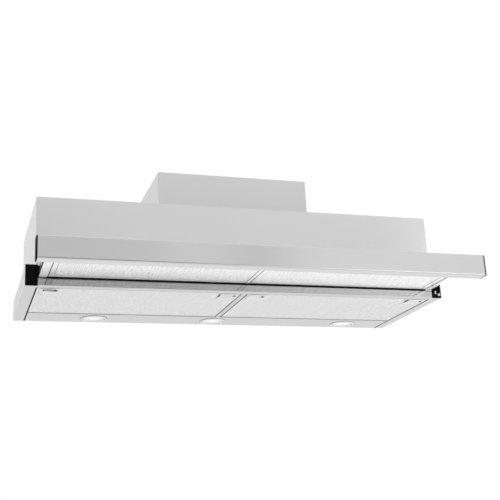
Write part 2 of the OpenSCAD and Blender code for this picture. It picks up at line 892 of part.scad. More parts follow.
module drawer_top_plate() {
  color([0.80, 0.80, 0.80]) block(
    [-drawer_wall, panel_back, drawer_top], [drawer_wall, panel_back + top_plate_d, drawer_top + sheet_t]
  );
}

module panel_outline() {
  difference() {
    span([panel_front, panel_bottom], [panel_back, panel_top]);
    round_corner([panel_front, panel_bottom], panel_edge_r, [-1, -1]);
    round_corner([panel_front, panel_top], panel_top_r, [-1, 1]);
  }
}

module front_panel() {
  half = half_panel - panel_cap_t;
  color([0.76, 0.76, 0.76]) difference() {
    along_x(-half, half) difference() {
      panel_outline();
      difference() {
        span([panel_front + panel_t, panel_bottom + panel_t], [panel_back - panel_t, panel_top - panel_t]);
        round_corner([panel_front + panel_t, panel_bottom + panel_t], panel_edge_r - panel_t, [-1, -1]);
      }
      span(
        [panel_back - panel_t - cut, panel_bottom + panel_low_edge],
        [panel_back + cut, panel_top - panel_rear_edge]
      );
    }
    for (side = [-1, 1]) on_side(side) translate([half - panel_bevel, panel_front, panel_bottom - cut])
      linear_extrude(panel_h + 2 * cut)
        polygon([[0, -cut], [0, 0], [panel_bevel, panel_bevel_d], [panel_bevel + cut, panel_bevel_d], [panel_bevel + cut, -cut]]);
    panel_screw_places() screw_hole(screw_l);
  }
}

module panel_cap(side) {
  color([0.05, 0.05, 0.05]) on_side(side) difference() {
    along_x(half_panel - panel_cap_t, half_panel) panel_outline();
    translate([half_panel - panel_cap_t - cut, panel_front - cut, panel_bottom - cut])
      cube([panel_cap_t + 2 * cut, panel_bevel_d + cut, panel_h + 2 * cut]);
  }
}

module panel_caps() {
  for (side = [-1, 1]) panel_cap(side);
}

module panel_screws() {
  color([0.6, 0.6, 0.62]) panel_screw_places() screw(screw_l - sheet_t);
}

// ---- Grease filters ----

// The pins and lugs at a filter's rear edge
module hinge_lugs(half_w, back_y, pin_y) {
  for (side = [-1, 1]) {
    x = side * (half_w - hinge_inset);
    along_x(x, x + lug_w) {
      translate([pin_y, hinge_up]) circle(lug_r);
      span([back_y - filter_sheet, hinge_up - lug_r], [pin_y, hinge_up + lug_r]);
    }
    along_x(x, x + lug_w + 2 * knob_gap + ear_w) translate([pin_y, hinge_up]) circle(hinge_pin_r);
  }
}

// A pan with upright edges and a window; it stands on Z = 0 and is centred across
module filter_pan(half_w, front_y, back_y, left_edge, right_edge, end_edge) {
  difference() {
    block([-half_w, front_y, 0], [half_w, back_y, filter_t]);
    block(
      [-half_w + filter_sheet, front_y + filter_sheet, filter_sheet],
      [half_w - filter_sheet, back_y - filter_sheet, filter_t + cut]
    );
    block(
      [-half_w + left_edge, front_y + end_edge, -cut],
      [half_w - right_edge, back_y - end_edge, filter_sheet + cut]
    );
  }
}

// The mesh pack that fills such a pan and its window: one mesh, folded at the front into two layers
module mesh_pack(half_w, front_y, back_y, left_edge, right_edge, end_edge) {
  gap = 0.1;
  low = [-half_w + filter_sheet + gap, front_y + filter_sheet + gap, filter_sheet];
  high = [half_w - filter_sheet - gap, back_y - filter_sheet - gap, filter_t - filter_sheet];
  difference() {
    block(low, high);
    block(low + [-cut, mesh_t, mesh_t], high + [cut, cut, -mesh_t]);
  }
  block(
    [-half_w + left_edge + gap, front_y + end_edge + gap, fit],
    [half_w - right_edge - gap, back_y - end_edge - gap, filter_sheet + gap]
  );
}

module drawer_filter_frame(side) {
  color([0.80, 0.80, 0.80]) on_side(side) translate([drawer_filter_x, 0, drawer_low]) {
    filter_pan(
      drawer_filter_half, drawer_filter_front, drawer_filter_back,
      drawer_border_in, drawer_border, drawer_border_in
    );
    mirror_for_ears(side) hinge_lugs(drawer_filter_half, drawer_filter_back, window_back - hinge_back);
  }
}

// The ears point the same way on both sides, so the left filter's lugs are turned back
module mirror_for_ears(side) {
  on_side(side) children();
}

module drawer_filter_mesh(side) {
  color([0.86, 0.86, 0.86]) on_side(side) translate([drawer_filter_x, 0, drawer_low]) mesh_pack(
    drawer_filter_half, drawer_filter_front, drawer_filter_back,
    drawer_border_in, drawer_border, drawer_border_in
  );
}

module drawer_filter_left_frame() {
  drawer_filter_frame(-1);
}

module drawer_filter_right_frame() {
  drawer_filter_frame(1);
}

module drawer_filter_left_mesh() {
  drawer_filter_mesh(-1);
}

module drawer_filter_right_mesh() {
  drawer_filter_mesh(1);
}

// The two corner places of a tray filter that carry a latch, seen from the filter's middle
module latch_corners() {
  for (side = [-1, 1]) translate([side * latch_off, filter_front, 0]) children();
}

bolt_low = filter_sheet + 1.2;
neck_y = latch_inset + finger_inset + finger_d + 5;
neck_d = 8;
neck_half = 9;

module filter_frame(side) {
  color([0.82, 0.82, 0.82]) translate([side * filter_x, 0, bottom]) {
    difference() {
      union() {
        filter_pan(filter_half, filter_front, filter_back, filter_border, filter_border, filter_border);
        latch_corners() block([-latch_pocket, filter_sheet, 0], [latch_pocket, latch_pocket_d, filter_sheet]);
        hinge_lugs(filter_half, filter_back, lamp_front - hinge_back);
      }
      latch_corners() {
        block(
          [-finger_w / 2, latch_inset + finger_inset - 2, -cut],
          [finger_w / 2, neck_y + neck_d + latch_travel + knob_gap, filter_sheet + cut]
        );
        block(
          [-bolt_w / 2 - knob_gap, -cut, bolt_low - knob_gap],
          [bolt_w / 2 + knob_gap, filter_sheet + cut, bolt_low + bolt_t + knob_gap]
        );
      }
    }
  }
}

module filter_mesh(side) {
  color([0.87, 0.87, 0.87]) translate([side * filter_x, 0, bottom]) difference() {
    mesh_pack(filter_half, filter_front, filter_back, filter_border, filter_border, filter_border);
    latch_corners() block(
      [-latch_pocket - fit, -cut, -cut], [latch_pocket + fit, latch_pocket_d + fit, filter_t]
    );
    for (side = [-1, 1]) {
      low = side > 0 ? latch_off : -filter_half - cut;
      block([low, filter_front, -cut], [low + filter_half + cut - latch_off, filter_front + latch_pocket_d + fit, filter_t]);
    }
  }
}

module filter_left_frame() {
  filter_frame(-1);
}

module filter_right_frame() {
  filter_frame(1);
}

module filter_left_mesh() {
  filter_mesh(-1);
}

module filter_right_mesh() {
  filter_mesh(1);
}

// A latch: a flush plate with a finger slot, a neck through the filter's sheet and a bolt
module latch(side, place) {
  plate_low = latch_inset;
  slot_y = plate_low + finger_inset;
  guide_w = 1.6;
  color([0.84, 0.84, 0.84])
    translate([side * filter_x + place * latch_off, filter_front, bottom]) difference() {
      union() {
        block([-latch_w / 2, plate_low, -latch_gap - latch_t], [latch_w / 2, plate_low + latch_d, -latch_gap]);
        block([-neck_half, neck_y, -latch_gap - latch_t], [neck_half, neck_y + neck_d, bolt_low + bolt_t]);
        block([-bolt_w / 2, -bolt_out, bolt_low], [bolt_w / 2, neck_y + neck_d, bolt_low + bolt_t]);
      }
      block([-finger_w / 2, slot_y, -latch_t - cut], [finger_w / 2, slot_y + finger_d, -latch_gap + 0.1]);
      translate([finger_w / 2, slot_y + finger_d / 2, -latch_t - cut]) cylinder(r = finger_d / 2 + 0.3, h = latch_t + cut);
      if (place > 0) {
        block(
          [-latch_w / 2 - cut, plate_low + 7.5, -latch_t - cut],
          [-latch_w / 2 + guide_w, plate_low + latch_d - 14, -latch_gap + 0.1]
        );
      }
    }
}

module latch_left_outer() {
  latch(-1, -1);
}

module latch_left_inner() {
  latch(-1, 1);
}

module latch_right_inner() {
  latch(1, -1);
}

module latch_right_outer() {
  latch(1, 1);
}

// ---- Lamps ----

module lamp_body(x) {
  inner_r = lamp_body_r - lamp_wall;
  color([0.88, 0.88, 0.88]) translate([x, lamp_y, bottom]) difference() {
    rotate_extrude($fn = 96) {
      difference() {
        span([lens_r, -lamp_rim_t], [lamp_r, 0]);
        round_corner([lamp_r, -lamp_rim_t], lamp_rim_t / 2, [1, -1]);
      }
      span([inner_r, -lamp_rim_t / 2], [lamp_body_r, lamp_body_h]);
      span([0, lamp_body_h - lamp_wall], [lamp_body_r, lamp_body_h]);
    }
    for (side = [-1, 1]) {
      translate([side * (lamp_r + lens_r) / 2, 0, -lamp_rim_t - cut]) cylinder(r = lamp_dot_r, h = lamp_rim_t / 2 + cut);
    }
  }
}

module lamp_left_body() {
  lamp_body(lamp_left_x);
}

module lamp_centre_body() {
  lamp_body(lamp_centre_x);
}

module lamp_right_body() {
  lamp_body(lamp_right_x);
}

module lamp_lens(x) {
  color([1, 1, 1]) translate([x, lamp_y, bottom]) rotate_extrude($fn = 96) difference() {
    span([0, -lamp_rim_t + 0.2], [lens_r - 0.05, 2]);
    round_corner([lens_r - 0.05, -lamp_rim_t + 0.2], 0.5, [1, -1]);
  }
}

module lamp_left_lens() {
  lamp_lens(lamp_left_x);
}

module lamp_centre_lens() {
  lamp_lens(lamp_centre_x);
}

module lamp_right_lens() {
  lamp_lens(lamp_right_x);
}

// ---- Fan ----

function scroll_r(a) = scroll_start_r + scroll_growth * (a - tongue_a) / (360 - tongue_a);

// The scroll's outline round the fan's axis, widened by a wall
module scroll_outline(wall) {
  turn = [for (a = [tongue_a : (360 - tongue_a) / 40 : 360]) (scroll_r(a) + wall) * [cos(a), sin(a)]];
  polygon(concat([[0, 0]], turn));
  circle(scroll_start_r + wall);
  span([tongue_y - wall, 0], [scroll_end_r + wall, outlet_up]);
}

// Places an outline round the fan's axis
module at_fan() {
  translate([fan_y, fan_up]) children();
}

// The rounded mouth of an inlet, standing out from the side plate at X = start
module inlet_mouth(start) {
  translate([start, fan_y, fan_up]) rotate([0, 90, 0]) rotate_extrude($fn = 96) translate([inlet_r, 0]) difference() {
    span([0, 0], [mouth_t + 3, mouth_t]);
    round_corner([0, mouth_t], mouth_t - 0.5, [-1, 1]);
  }
}

module fan_volute() {
  left = -half_volute - volute_t;
  color([0.30, 0.31, 0.32]) {
    difference() {
      along_x(left, half_volute) at_fan() scroll_outline(volute_t);
      along_x(-half_volute, half_volute + cut) at_fan() scroll_outline(0);
      along_x(left - cut, 0) at_fan() circle(inlet_r);
      along_x(-half_volute, half_volute) at_fan()
        span([tongue_y, 0], [scroll_end_r, outlet_up + cut]);
    }
    mirror([1, 0, 0]) inlet_mouth(half_volute + volute_t);
  }
}

module volute_cover() {
  color([0.27, 0.28, 0.29]) {
    along_x(half_volute, half_volute + volute_t) at_fan() difference() {
      scroll_outline(volute_t);
      circle(inlet_r);
    }
    inlet_mouth(half_volute + volute_t);
  }
}

module blade_outline() {
  tip = impeller_r - 1;
  root = tip - blade_h;
  intersection() {
    difference() {
      translate([root + 2, 9]) circle(blade_curve_r + blade_t / 2);
      translate([root + 2, 9]) circle(blade_curve_r - blade_t / 2);
    }
    span([root, -1], [tip, 7]);
  }
}

module impeller() {
  half = impeller_l / 2;
  color([0.20, 0.21, 0.22]) {
    along_x(-half, half) at_fan() for (i = [0 : blade_count - 1]) rotate(i * 360 / blade_count) blade_outline();
    for (side = [-1, 1]) on_side(side) along_x(half - ring_t, half) at_fan() difference() {
      circle(impeller_r);
      circle(impeller_r - ring_h);
    }
    difference() {
      union() {
        along_x(-disc_t / 2, disc_t / 2) at_fan() circle(impeller_r);
        along_x(hub_left, hub_right) at_fan() circle(hub_r);
      }
      along_x(hub_left - cut, hub_right + cut) at_fan() circle(shaft_r + shaft_gap);
    }
  }
}

module motor() {
  edge = 4;
  color([0.55, 0.56, 0.58]) translate([0, fan_y, fan_up]) rotate([0, 90, 0]) rotate_extrude($fn = 96) {
    polygon([
      [0, motor_face], [motor_r - edge, motor_face], [motor_r, motor_face + edge],
      [motor_r, half_volute - edge], [motor_r - edge, half_volute], [motor_r - 10, half_volute],
      [motor_r - 10, bracket_x], [0, bracket_x]
    ]);
    span([0, motor_face + 16], [motor_r + 1.5, motor_face + 40]);
    span([0, hub_left - 2], [shaft_r, motor_face + cut]);
  }
}

module motor_bracket() {
  color([0.62, 0.63, 0.64]) along_x(bracket_x, bracket_x + bracket_t) at_fan() {
    circle(motor_r);
    for (i = [0 : 2]) rotate(30 + i * 120) span([0, -7], [inlet_r + mouth_t + 2, 7]);
  }
}

// ---- Outlet ----

module outlet_transition() {
  top = motor_top - sheet_t;
  ring_low = top - transition_ring_h;
  low = outlet_z;
  out_low = [-half_volute - volute_t, fan_y + tongue_y - volute_t, low];
  out_high = [half_volute + volute_t, fan_y + scroll_end_r + volute_t, low + 2];
  wall = [volute_t, volute_t, 0];
  color([0.30, 0.31, 0.32]) difference() {
    union() {
      hull() {
        block(out_low, out_high);
        translate([0, collar_y, ring_low]) cylinder(r = transition_r, h = 1, $fn = 32);
      }
      translate([0, collar_y, ring_low]) cylinder(r = transition_r, h = transition_ring_h);
      collar_screw_places() translate([0, 0, -collar_flange_t - sheet_t - transition_ring_h])
        cylinder(r = 7.5, h = transition_ring_h);
    }
    hull() {
      block(out_low + wall - [0, 0, cut], out_high - wall - [0, 0, 1]);
      translate([0, collar_y, ring_low - 1]) cylinder(r = hole_r, h = 1, $fn = 32);
    }
    translate([0, collar_y, ring_low - 1.2]) cylinder(r = hole_r, h = transition_ring_h + 2 * cut);
    collar_screw_places() screw_hole(2 * screw_l);
  }
}

// The four places of the collar's screws, on top of its flange
module collar_screw_places() {
  for (a = [45 : 90 : 315]) {
    translate([collar_screw_r * cos(a), collar_y + collar_screw_r * sin(a), collar_base]) children();
  }
}

module outlet_collar() {
  sleeve_low = motor_top - collar_sleeve_h;
  color([0.12, 0.12, 0.13]) difference() {
    union() {
      translate([0, collar_y, 0]) rotate_extrude($fn = 128) {
        span([sleeve_r - collar_t, sleeve_low], [sleeve_r, collar_base]);
        span([sleeve_r - collar_t, motor_top], [collar_flange_r, collar_base]);
        difference() {
          span([collar_bore_r, collar_base - cut], [collar_r, collar_base + collar_h]);
          round_corner([collar_bore_r, collar_base + collar_h], 0.5, [-1, 1]);
        }
      }
      for (side = [-1, 1]) on_side(side) intersection() {
        block(
          [collar_bore_r - boss_w, collar_y - boss_half, sleeve_low],
          [collar_bore_r + 1, collar_y + boss_half, flap_z + boss_half]
        );
        translate([0, collar_y, 0]) cylinder(r = sleeve_r - collar_t / 2, h = 2 * motor_top);
      }
    }
    along_x(-flap_pin_half - 0.3, flap_pin_half + 0.3) translate([collar_y, flap_z]) circle(flap_pin_r + shaft_gap);
    collar_screw_places() screw_hole(2 * collar_flange_t);
  }
}

module flap_pin() {
  color([0.75, 0.75, 0.77]) along_x(-flap_pin_half, flap_pin_half) translate([collar_y, flap_z]) circle(flap_pin_r);
}

// The front flap lies towards the front; its knuckles leave room for the other flap's
module flap() {
  inner = knuckle_r + 1;
  starts = [-3 * knuckle_w - 4, 2];
  color([0.16, 0.16, 0.17]) difference() {
    union() {
      linear_extrude(flap_t, center = true) difference() {
        circle(flap_r, $fn = 96);
        span([-flap_r - cut, -inner], [flap_r + cut, flap_r + cut]);
        for (side = [-1, 1]) on_side(side)
          span([collar_bore_r - boss_w - 1.5, -boss_half - 2], [flap_r + cut, 0]);
      }
      for (x = starts) {
        along_x(x, x + knuckle_w) circle(knuckle_r);
        block([x, -inner - 1, -flap_t / 2], [x + knuckle_w, 0, flap_t / 2]);
      }
    }
    along_x(-flap_r, flap_r) circle(flap_pin_r + shaft_gap);
  }
}

module front_flap() {
  translate([0, collar_y, flap_z]) flap();
}

module rear_flap() {
  translate([0, collar_y, flap_z]) rotate([0, 0, 180]) flap();
}

// ---- Electronics ----

BOARD_EDGE = 4;
gland_x = box_left_x + 22;
gland_y = box_front_y + 22;

module electronics_box() {
  color([0.85, 0.85, 0.83]) {
    difference() {
      block([box_left_x, box_front_y, box_floor], [box_right_x, box_back_y, box_top]);
      block(
        [box_left_x + box_wall, box_front_y + box_wall, box_floor + box_wall],
        [box_right_x - box_wall, box_back_y - box_wall, box_top + cut]
      );
    }
    for (x = [box_left_x + 12, box_right_x - 12], y = [box_front_y + 12, box_back_y - 12]) {
      translate([x, y, box_floor + 1]) cylinder(r = 3, h = board_z - box_floor - 1);
    }
  }
}

relay_size = [14, 16, 12];
relay_pitch = 20;
relay_edge = 4;
choke_size = [16, 20, 16];
can_r = 5;
can_h = 14;
terminal_poles = 3;
terminal_size = [24, 12, 14];
terminal_screw_r = 2.2;
wire_r = 1.6;

module circuit_board() {
  low = [box_left_x + BOARD_EDGE, box_front_y + BOARD_EDGE, board_z];
  high = [box_right_x - BOARD_EDGE, box_back_y - BOARD_EDGE, board_top];
  relay_x = high.x - relay_edge - relay_size.x;
  choke_x = relay_x - relay_edge - choke_size.x;
  choke_y = low.y + relay_edge;
  color([0.10, 0.35, 0.18]) {
    block(low, high);
    for (i = [0 : 2]) translate([relay_x, low.y + relay_edge + i * relay_pitch, board_top]) cube(relay_size);
    translate([choke_x, choke_y, board_top]) cube(choke_size);
    translate([choke_x + choke_size.x / 2, choke_y + choke_size.y + relay_edge + can_r, board_top])
      cylinder(r = can_r, h = can_h);
  }
}

module terminal_block() {
  start = [gland_x + terminal_poles * can_r, box_back_y - BOARD_EDGE - terminal_size.y - 2, board_top];
  pole_w = terminal_size.x / terminal_poles;
  color([0.92, 0.92, 0.90]) difference() {
    translate(start) cube(terminal_size);
    for (i = [0 : terminal_poles - 1]) {
      at = start + [(i + 0.5) * pole_w, 0, 0];
      translate(at + [0, terminal_size.y / 2, terminal_size.z / 2]) cylinder(r = terminal_screw_r, h = terminal_size.z);
      translate(at + [0, -cut, terminal_size.z / 4]) rotate([-90, 0, 0]) cylinder(r = wire_r, h = terminal_size.y / 2);
    }
  }
}

module cable_gland() {
  color([0.15, 0.15, 0.16]) translate([gland_x, gland_y, casing_h]) difference() {
    union() {
      translate([0, 0, -8]) cylinder(r = gland_r, h = 20);
      cylinder(r = gland_r + 4, h = 4, $fn = 6);
      translate([0, 0, -sheet_t - 3]) cylinder(r = gland_r + 4, h = 3, $fn = 6);
      rotate_extrude() difference() {
        span([0, 4], [gland_r + 2.5, 16]);
        round_corner([gland_r + 2.5, 16], 3, [1, 1]);
      }
    }
    translate([0, 0, -8 - cut]) cylinder(r = gland_bore_r, h = 24 + 2 * cut);
  }
}

module microswitch() {
  x = -microswitch_left;
  low = [x - microswitch_w / 2, microswitch_front, microswitch_z - microswitch_h / 2];
  high = [x + microswitch_w / 2, microswitch_front + microswitch_d, microswitch_z + microswitch_h / 2];
  color([0.10, 0.10, 0.11]) difference() {
    union() {
      block(low, high);
      block([low.x, high.y - cut, low.z], [high.x, -sheet_t, low.z + 1.5]);
      block([low.x, -sheet_t - 1.5, low.z], [high.x, -sheet_t, high.z]);
    }
    translate([x, microswitch_front - cut, microswitch_z]) rotate([-90, 0, 0])
      cylinder(r = plunger_r + shaft_gap, h = plunger_l - plunger_out + plunger_travel + 0.5 + cut);
  }
}

module switch_plunger() {
  color([0.80, 0.15, 0.12]) translate([-microswitch_left, plunger_tip, microswitch_z]) rotate([-90, 0, 0])
    rotate_extrude() difference() {
      span([0, 0], [plunger_r, plunger_l]);
      round_corner([plunger_r, 0], 0.8, [1, -1]);
    }
}

// ---- Screws ----

module casing_screws() {
  color([0.6, 0.6, 0.62]) {
    for (side = [-1, 1]) {
      for (y = CASING_ROW) translate([side * casing_screw_x, y, sheet_t]) screw();
      for (y = MOTOR_ROW) translate([side * motor_screw_x, y, casing_h + sheet_t]) screw();
    }
    collar_screw_places() screw(screw_l + 3);
  }
}

upper_casing();
casing_top();
casing_back();
motor_housing();
left_side_channel();
right_side_channel();
lamp_panel();
front_lip();
lip_seal();
filter_divider();
left_end_plate();
right_control_plate();
left_outer_slide();
right_outer_slide();
left_middle_slide();
right_middle_slide();
left_inner_slide();
right_inner_slide();
drawer_frame();
drawer_top_plate();
front_panel();
panel_caps();
panel_screws();
drawer_filter_left_frame();
drawer_filter_left_mesh();
drawer_filter_right_frame();
drawer_filter_right_mesh();
filter_left_frame();
filter_left_mesh();
filter_right_frame();
filter_right_mesh();
latch_left_outer();
latch_left_inner();
latch_right_inner();
latch_right_outer();
lamp_left_body();
lamp_centre_body();
lamp_right_body();
lamp_left_lens();
lamp_centre_lens();
lamp_right_lens();
speed_slider();
lamp_switch();
fan_volute();
volute_cover();
impeller();
motor();
motor_bracket();
outlet_transition();
outlet_collar();
flap_pin();
front_flap();
rear_flap();
electronics_box();
circuit_board();
terminal_block();
cable_gland();
microswitch();
switch_plunger();
casing_screws();
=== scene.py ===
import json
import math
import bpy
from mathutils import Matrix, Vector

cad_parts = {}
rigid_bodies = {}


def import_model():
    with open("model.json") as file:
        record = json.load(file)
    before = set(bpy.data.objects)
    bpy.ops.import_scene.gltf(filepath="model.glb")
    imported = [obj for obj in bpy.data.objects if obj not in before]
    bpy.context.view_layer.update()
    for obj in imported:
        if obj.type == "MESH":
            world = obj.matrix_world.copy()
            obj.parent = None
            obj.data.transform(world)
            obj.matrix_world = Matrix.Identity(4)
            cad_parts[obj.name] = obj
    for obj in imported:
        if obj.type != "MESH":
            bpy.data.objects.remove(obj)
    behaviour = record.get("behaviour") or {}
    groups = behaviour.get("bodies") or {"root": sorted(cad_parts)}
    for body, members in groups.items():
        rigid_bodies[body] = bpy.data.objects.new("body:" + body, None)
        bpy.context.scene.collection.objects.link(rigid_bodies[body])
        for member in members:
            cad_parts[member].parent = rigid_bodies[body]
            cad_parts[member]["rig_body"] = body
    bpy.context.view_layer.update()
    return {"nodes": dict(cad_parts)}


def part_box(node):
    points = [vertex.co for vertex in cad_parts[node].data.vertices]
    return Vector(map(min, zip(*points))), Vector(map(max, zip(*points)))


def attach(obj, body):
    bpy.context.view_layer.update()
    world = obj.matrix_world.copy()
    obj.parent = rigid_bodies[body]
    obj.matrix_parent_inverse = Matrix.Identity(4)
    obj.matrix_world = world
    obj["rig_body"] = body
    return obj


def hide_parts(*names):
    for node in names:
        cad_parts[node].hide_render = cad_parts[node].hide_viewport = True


bl_info = {
    "name": "Pull-out range hood",
    "version": (1, 0, 0),
    "blender": (4, 5, 0),
    "location": "3D View > Sidebar > Range hood",
    "description": "Finishes, small parts and studio of a pull-out range hood",
    "category": "Object",
}

import bmesh
import bpy
from bpy.props import FloatProperty, FloatVectorProperty, PointerProperty
from mathutils import Matrix, Vector

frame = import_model()


# ---- Settings ----


def size(name, description, default, low):
    """A length that a user may set, in metres."""
    return FloatProperty(
        name=name, description=description, default=default, min=low, unit="LENGTH", precision=5
    )


def colour(name, description, default):
    """A linear colour."""
    return FloatVectorProperty(
        name=name, description=description, default=default, size=3, min=0.0, max=1.0, subtype="COLOR"
    )


class HoodColours(bpy.types.PropertyGroup):
    casing: colour("Casing", "Satin steel of the casing", (0.725, 0.725, 0.725))
    motor_box: colour("Motor box", "Satin steel of the motor box", (0.68, 0.68, 0.68))
    tray: colour("Tray", "Satin steel of the channels and the lamp panel", (0.61, 0.61, 0.61))
    drawer: colour("Drawer", "Pale steel of the drawer's frame", (0.93, 0.93, 0.93))
    panel: colour("Front panel", "Brushed steel of the front panel", (0.64, 0.64, 0.64))
    lip: colour("Lip", "Bright steel of the tray's front lip", (0.54, 0.54, 0.54))
    aluminium: colour("Cassettes", "Satin aluminium of the tray's cassette frames", (0.74, 0.74, 0.74))
    mesh: colour("Mesh", "Expanded mesh in the tray's cassettes", (0.865, 0.865, 0.865))
    # Lighter than the tray's mesh colour for the same kind of cassette: painted light on the drawer's
    # cassettes
    drawer_mesh_painted_light: colour("Drawer mesh", "Mesh and frames of the drawer's cassettes", (0.95, 0.95, 0.95))
    zinc: colour("Zinc", "Zinc plate on tracks, rivets, flap pin, bracket and screws", (0.55, 0.56, 0.57))
    slide: colour("Slide coat", "Black coat on the slides", (0.012, 0.012, 0.013))
    # The latches' dark dots, bars and slot edge take this black as painted shade
    black: colour("Black plastic", "End plates, caps and latch stops", (0.004, 0.004, 0.004))
    # The dark strips and trims in the seams and on the drawer's cassettes take this black as painted shade;
    # the lip's seal takes it too
    rubber: colour("Rubber", "Black rubber of the seals", (0.004, 0.004, 0.004))
    latch: colour("Latches", "Satin plastic of the finger latches", (0.74, 0.74, 0.74))
    # Grey fill of the outer left latch's deep slot: painted shade
    grip: colour("Latch grip", "Grip in the outer left latch's finger slot", (0.34, 0.34, 0.34))
    silver: colour("Knobs", "Silver knobs of fan and lamps", (0.62, 0.62, 0.62))
    ink: colour("Marks", "Printed marks beside the knobs", (0.75, 0.75, 0.75))
    lamp: colour("Lamps", "Paint on the lamps' bodies", (0.74, 0.74, 0.745))
    lens: colour("Lens", "Frosted lenses of the lamps", (0.95, 0.96, 0.955))
    # Dark ring round each lamp: painted shade in the gap at the rim's edge
    shade_ring: colour("Lamp gaskets", "Rubber rings round the lamps", (0.05, 0.05, 0.05))
    # Dark dots in the lamps' rims: painted shade of the rim's holes
    pin: colour("Lamp pins", "Pins in the lamps' rims", (0.03, 0.03, 0.03))
    scroll: colour("Scroll", "Dark plastic of the fan's scroll and transition", (0.05, 0.052, 0.055))
    impeller: colour("Impeller", "Dark plastic of the impeller", (0.035, 0.036, 0.038))
    motor: colour("Motor", "Steel shell of the motor", (0.33, 0.335, 0.34))
    collar: colour("Collar", "Black plastic of the duct collar", (0.012, 0.012, 0.013))
    flap: colour("Flaps", "Plastic of the flaps, the gland and the microswitch", (0.02, 0.02, 0.021))
    electronics: colour("Electronics box", "Pale plastic of the electronics box", (0.68, 0.68, 0.66))
    board: colour("Circuit board", "Solder mask on the circuit board", (0.02, 0.13, 0.05))
    terminal: colour("Terminals", "Pale plastic of the terminal block", (0.74, 0.74, 0.71))
    plunger: colour("Plunger", "Red plastic of the microswitch's plunger", (0.55, 0.03, 0.02))


class HoodSizes(bpy.types.PropertyGroup):
    mesh_long: size("Mesh length", "Length of one diamond of the mesh, across the hood", 0.010, 0.004)
    mesh_short: size("Mesh width", "Width of one diamond of the mesh, front to back", 0.005, 0.002)
    strand: size("Strand", "Width of a strand of the mesh", 0.0011, 0.0002)
    seam: size("Seam", "Gap between a cassette and what it closes against", 0.0012, 0.0004)
    # The next two size the dark rubber strips and trims in the seams, which are painted shade
    seal: size("Seal", "Thickness of the rubber strips in the seams", 0.0008, 0.0002)
    trim: size("Edge trim", "Width of the rubber trim on the channels' edges", 0.0026, 0.0005)
    edge: size("Broken edge", "Rounding on the edges of the plastic pieces", 0.0004, 0.0001)
    rivet: size("Rivet", "Radius of the slides' rivets", 0.0021, 0.0005)
    slot_w: size("Finger slot width", "Width of a latch's finger slot", 0.025, 0.01)
    slot_d: size("Finger slot depth", "Depth of a latch's finger slot, front to back", 0.004, 0.001)
    slot_in: size("Finger slot place", "Distance from a latch's front edge to its finger slot", 0.013, 0.002)
    dot: size("Mark", "Radius of the marks beside the knobs", 0.0006, 0.0002)
    recess: size("Screw recess", "Depth of the cross in a screw's head", 0.0013, 0.0003)


class HoodStudio(bpy.types.PropertyGroup):
    floor_z: FloatProperty(name="Floor", description="Height of the floor", default=-2.3, unit="LENGTH")
    floor_reach: size("Floor reach", "Half the width of the floor that lights the hood", 3.2, 1.0)
    floor_far: size("Floor far reach", "Half the width of the whole floor", 12.0, 1.0)
    floor_paint: colour("Floor paint", "Pale paint of the floor", (0.92, 0.92, 0.92))
    sky: FloatProperty(
        name="Sky", description="Brightness of the soft light round the hood", default=1.0, min=0.0
    )
    key: FloatProperty(
        name="Key light", description="Power of the light above the front", default=0.8, unit="POWER"
    )
    low: FloatProperty(
        name="Low light", description="Power of the light low at the right", default=4.8, unit="POWER"
    )


def colours():
    return bpy.context.scene.hood_colours


def sizes():
    return bpy.context.scene.hood_sizes


def studio():
    return bpy.context.scene.hood_studio


# ---- Finishes ----


class Nodes:
    """A node tree in the making, of a material or of the sky."""

    def __init__(self, owner):
        owner.use_nodes = True
        self.tree = owner.node_tree

    def add(self, kind, **settings):
        """A new node with its settings."""
        node = self.tree.nodes.new(kind)
        for key, value in settings.items():
            setattr(node, key, value)
        return node

    def join(self, out, into):
        """Feeds a node's result to another node."""
        self.tree.links.new(out, into)

    def math(self, operation, a, b=0.0):
        """One step of arithmetic, on numbers or on other nodes' results."""
        node = self.add("ShaderNodeMath", operation=operation)
        for socket, part in zip(node.inputs, (a, b)):
            if isinstance(part, float):
                socket.default_value = part
            else:
                self.join(part, socket)
        return node.outputs[0]


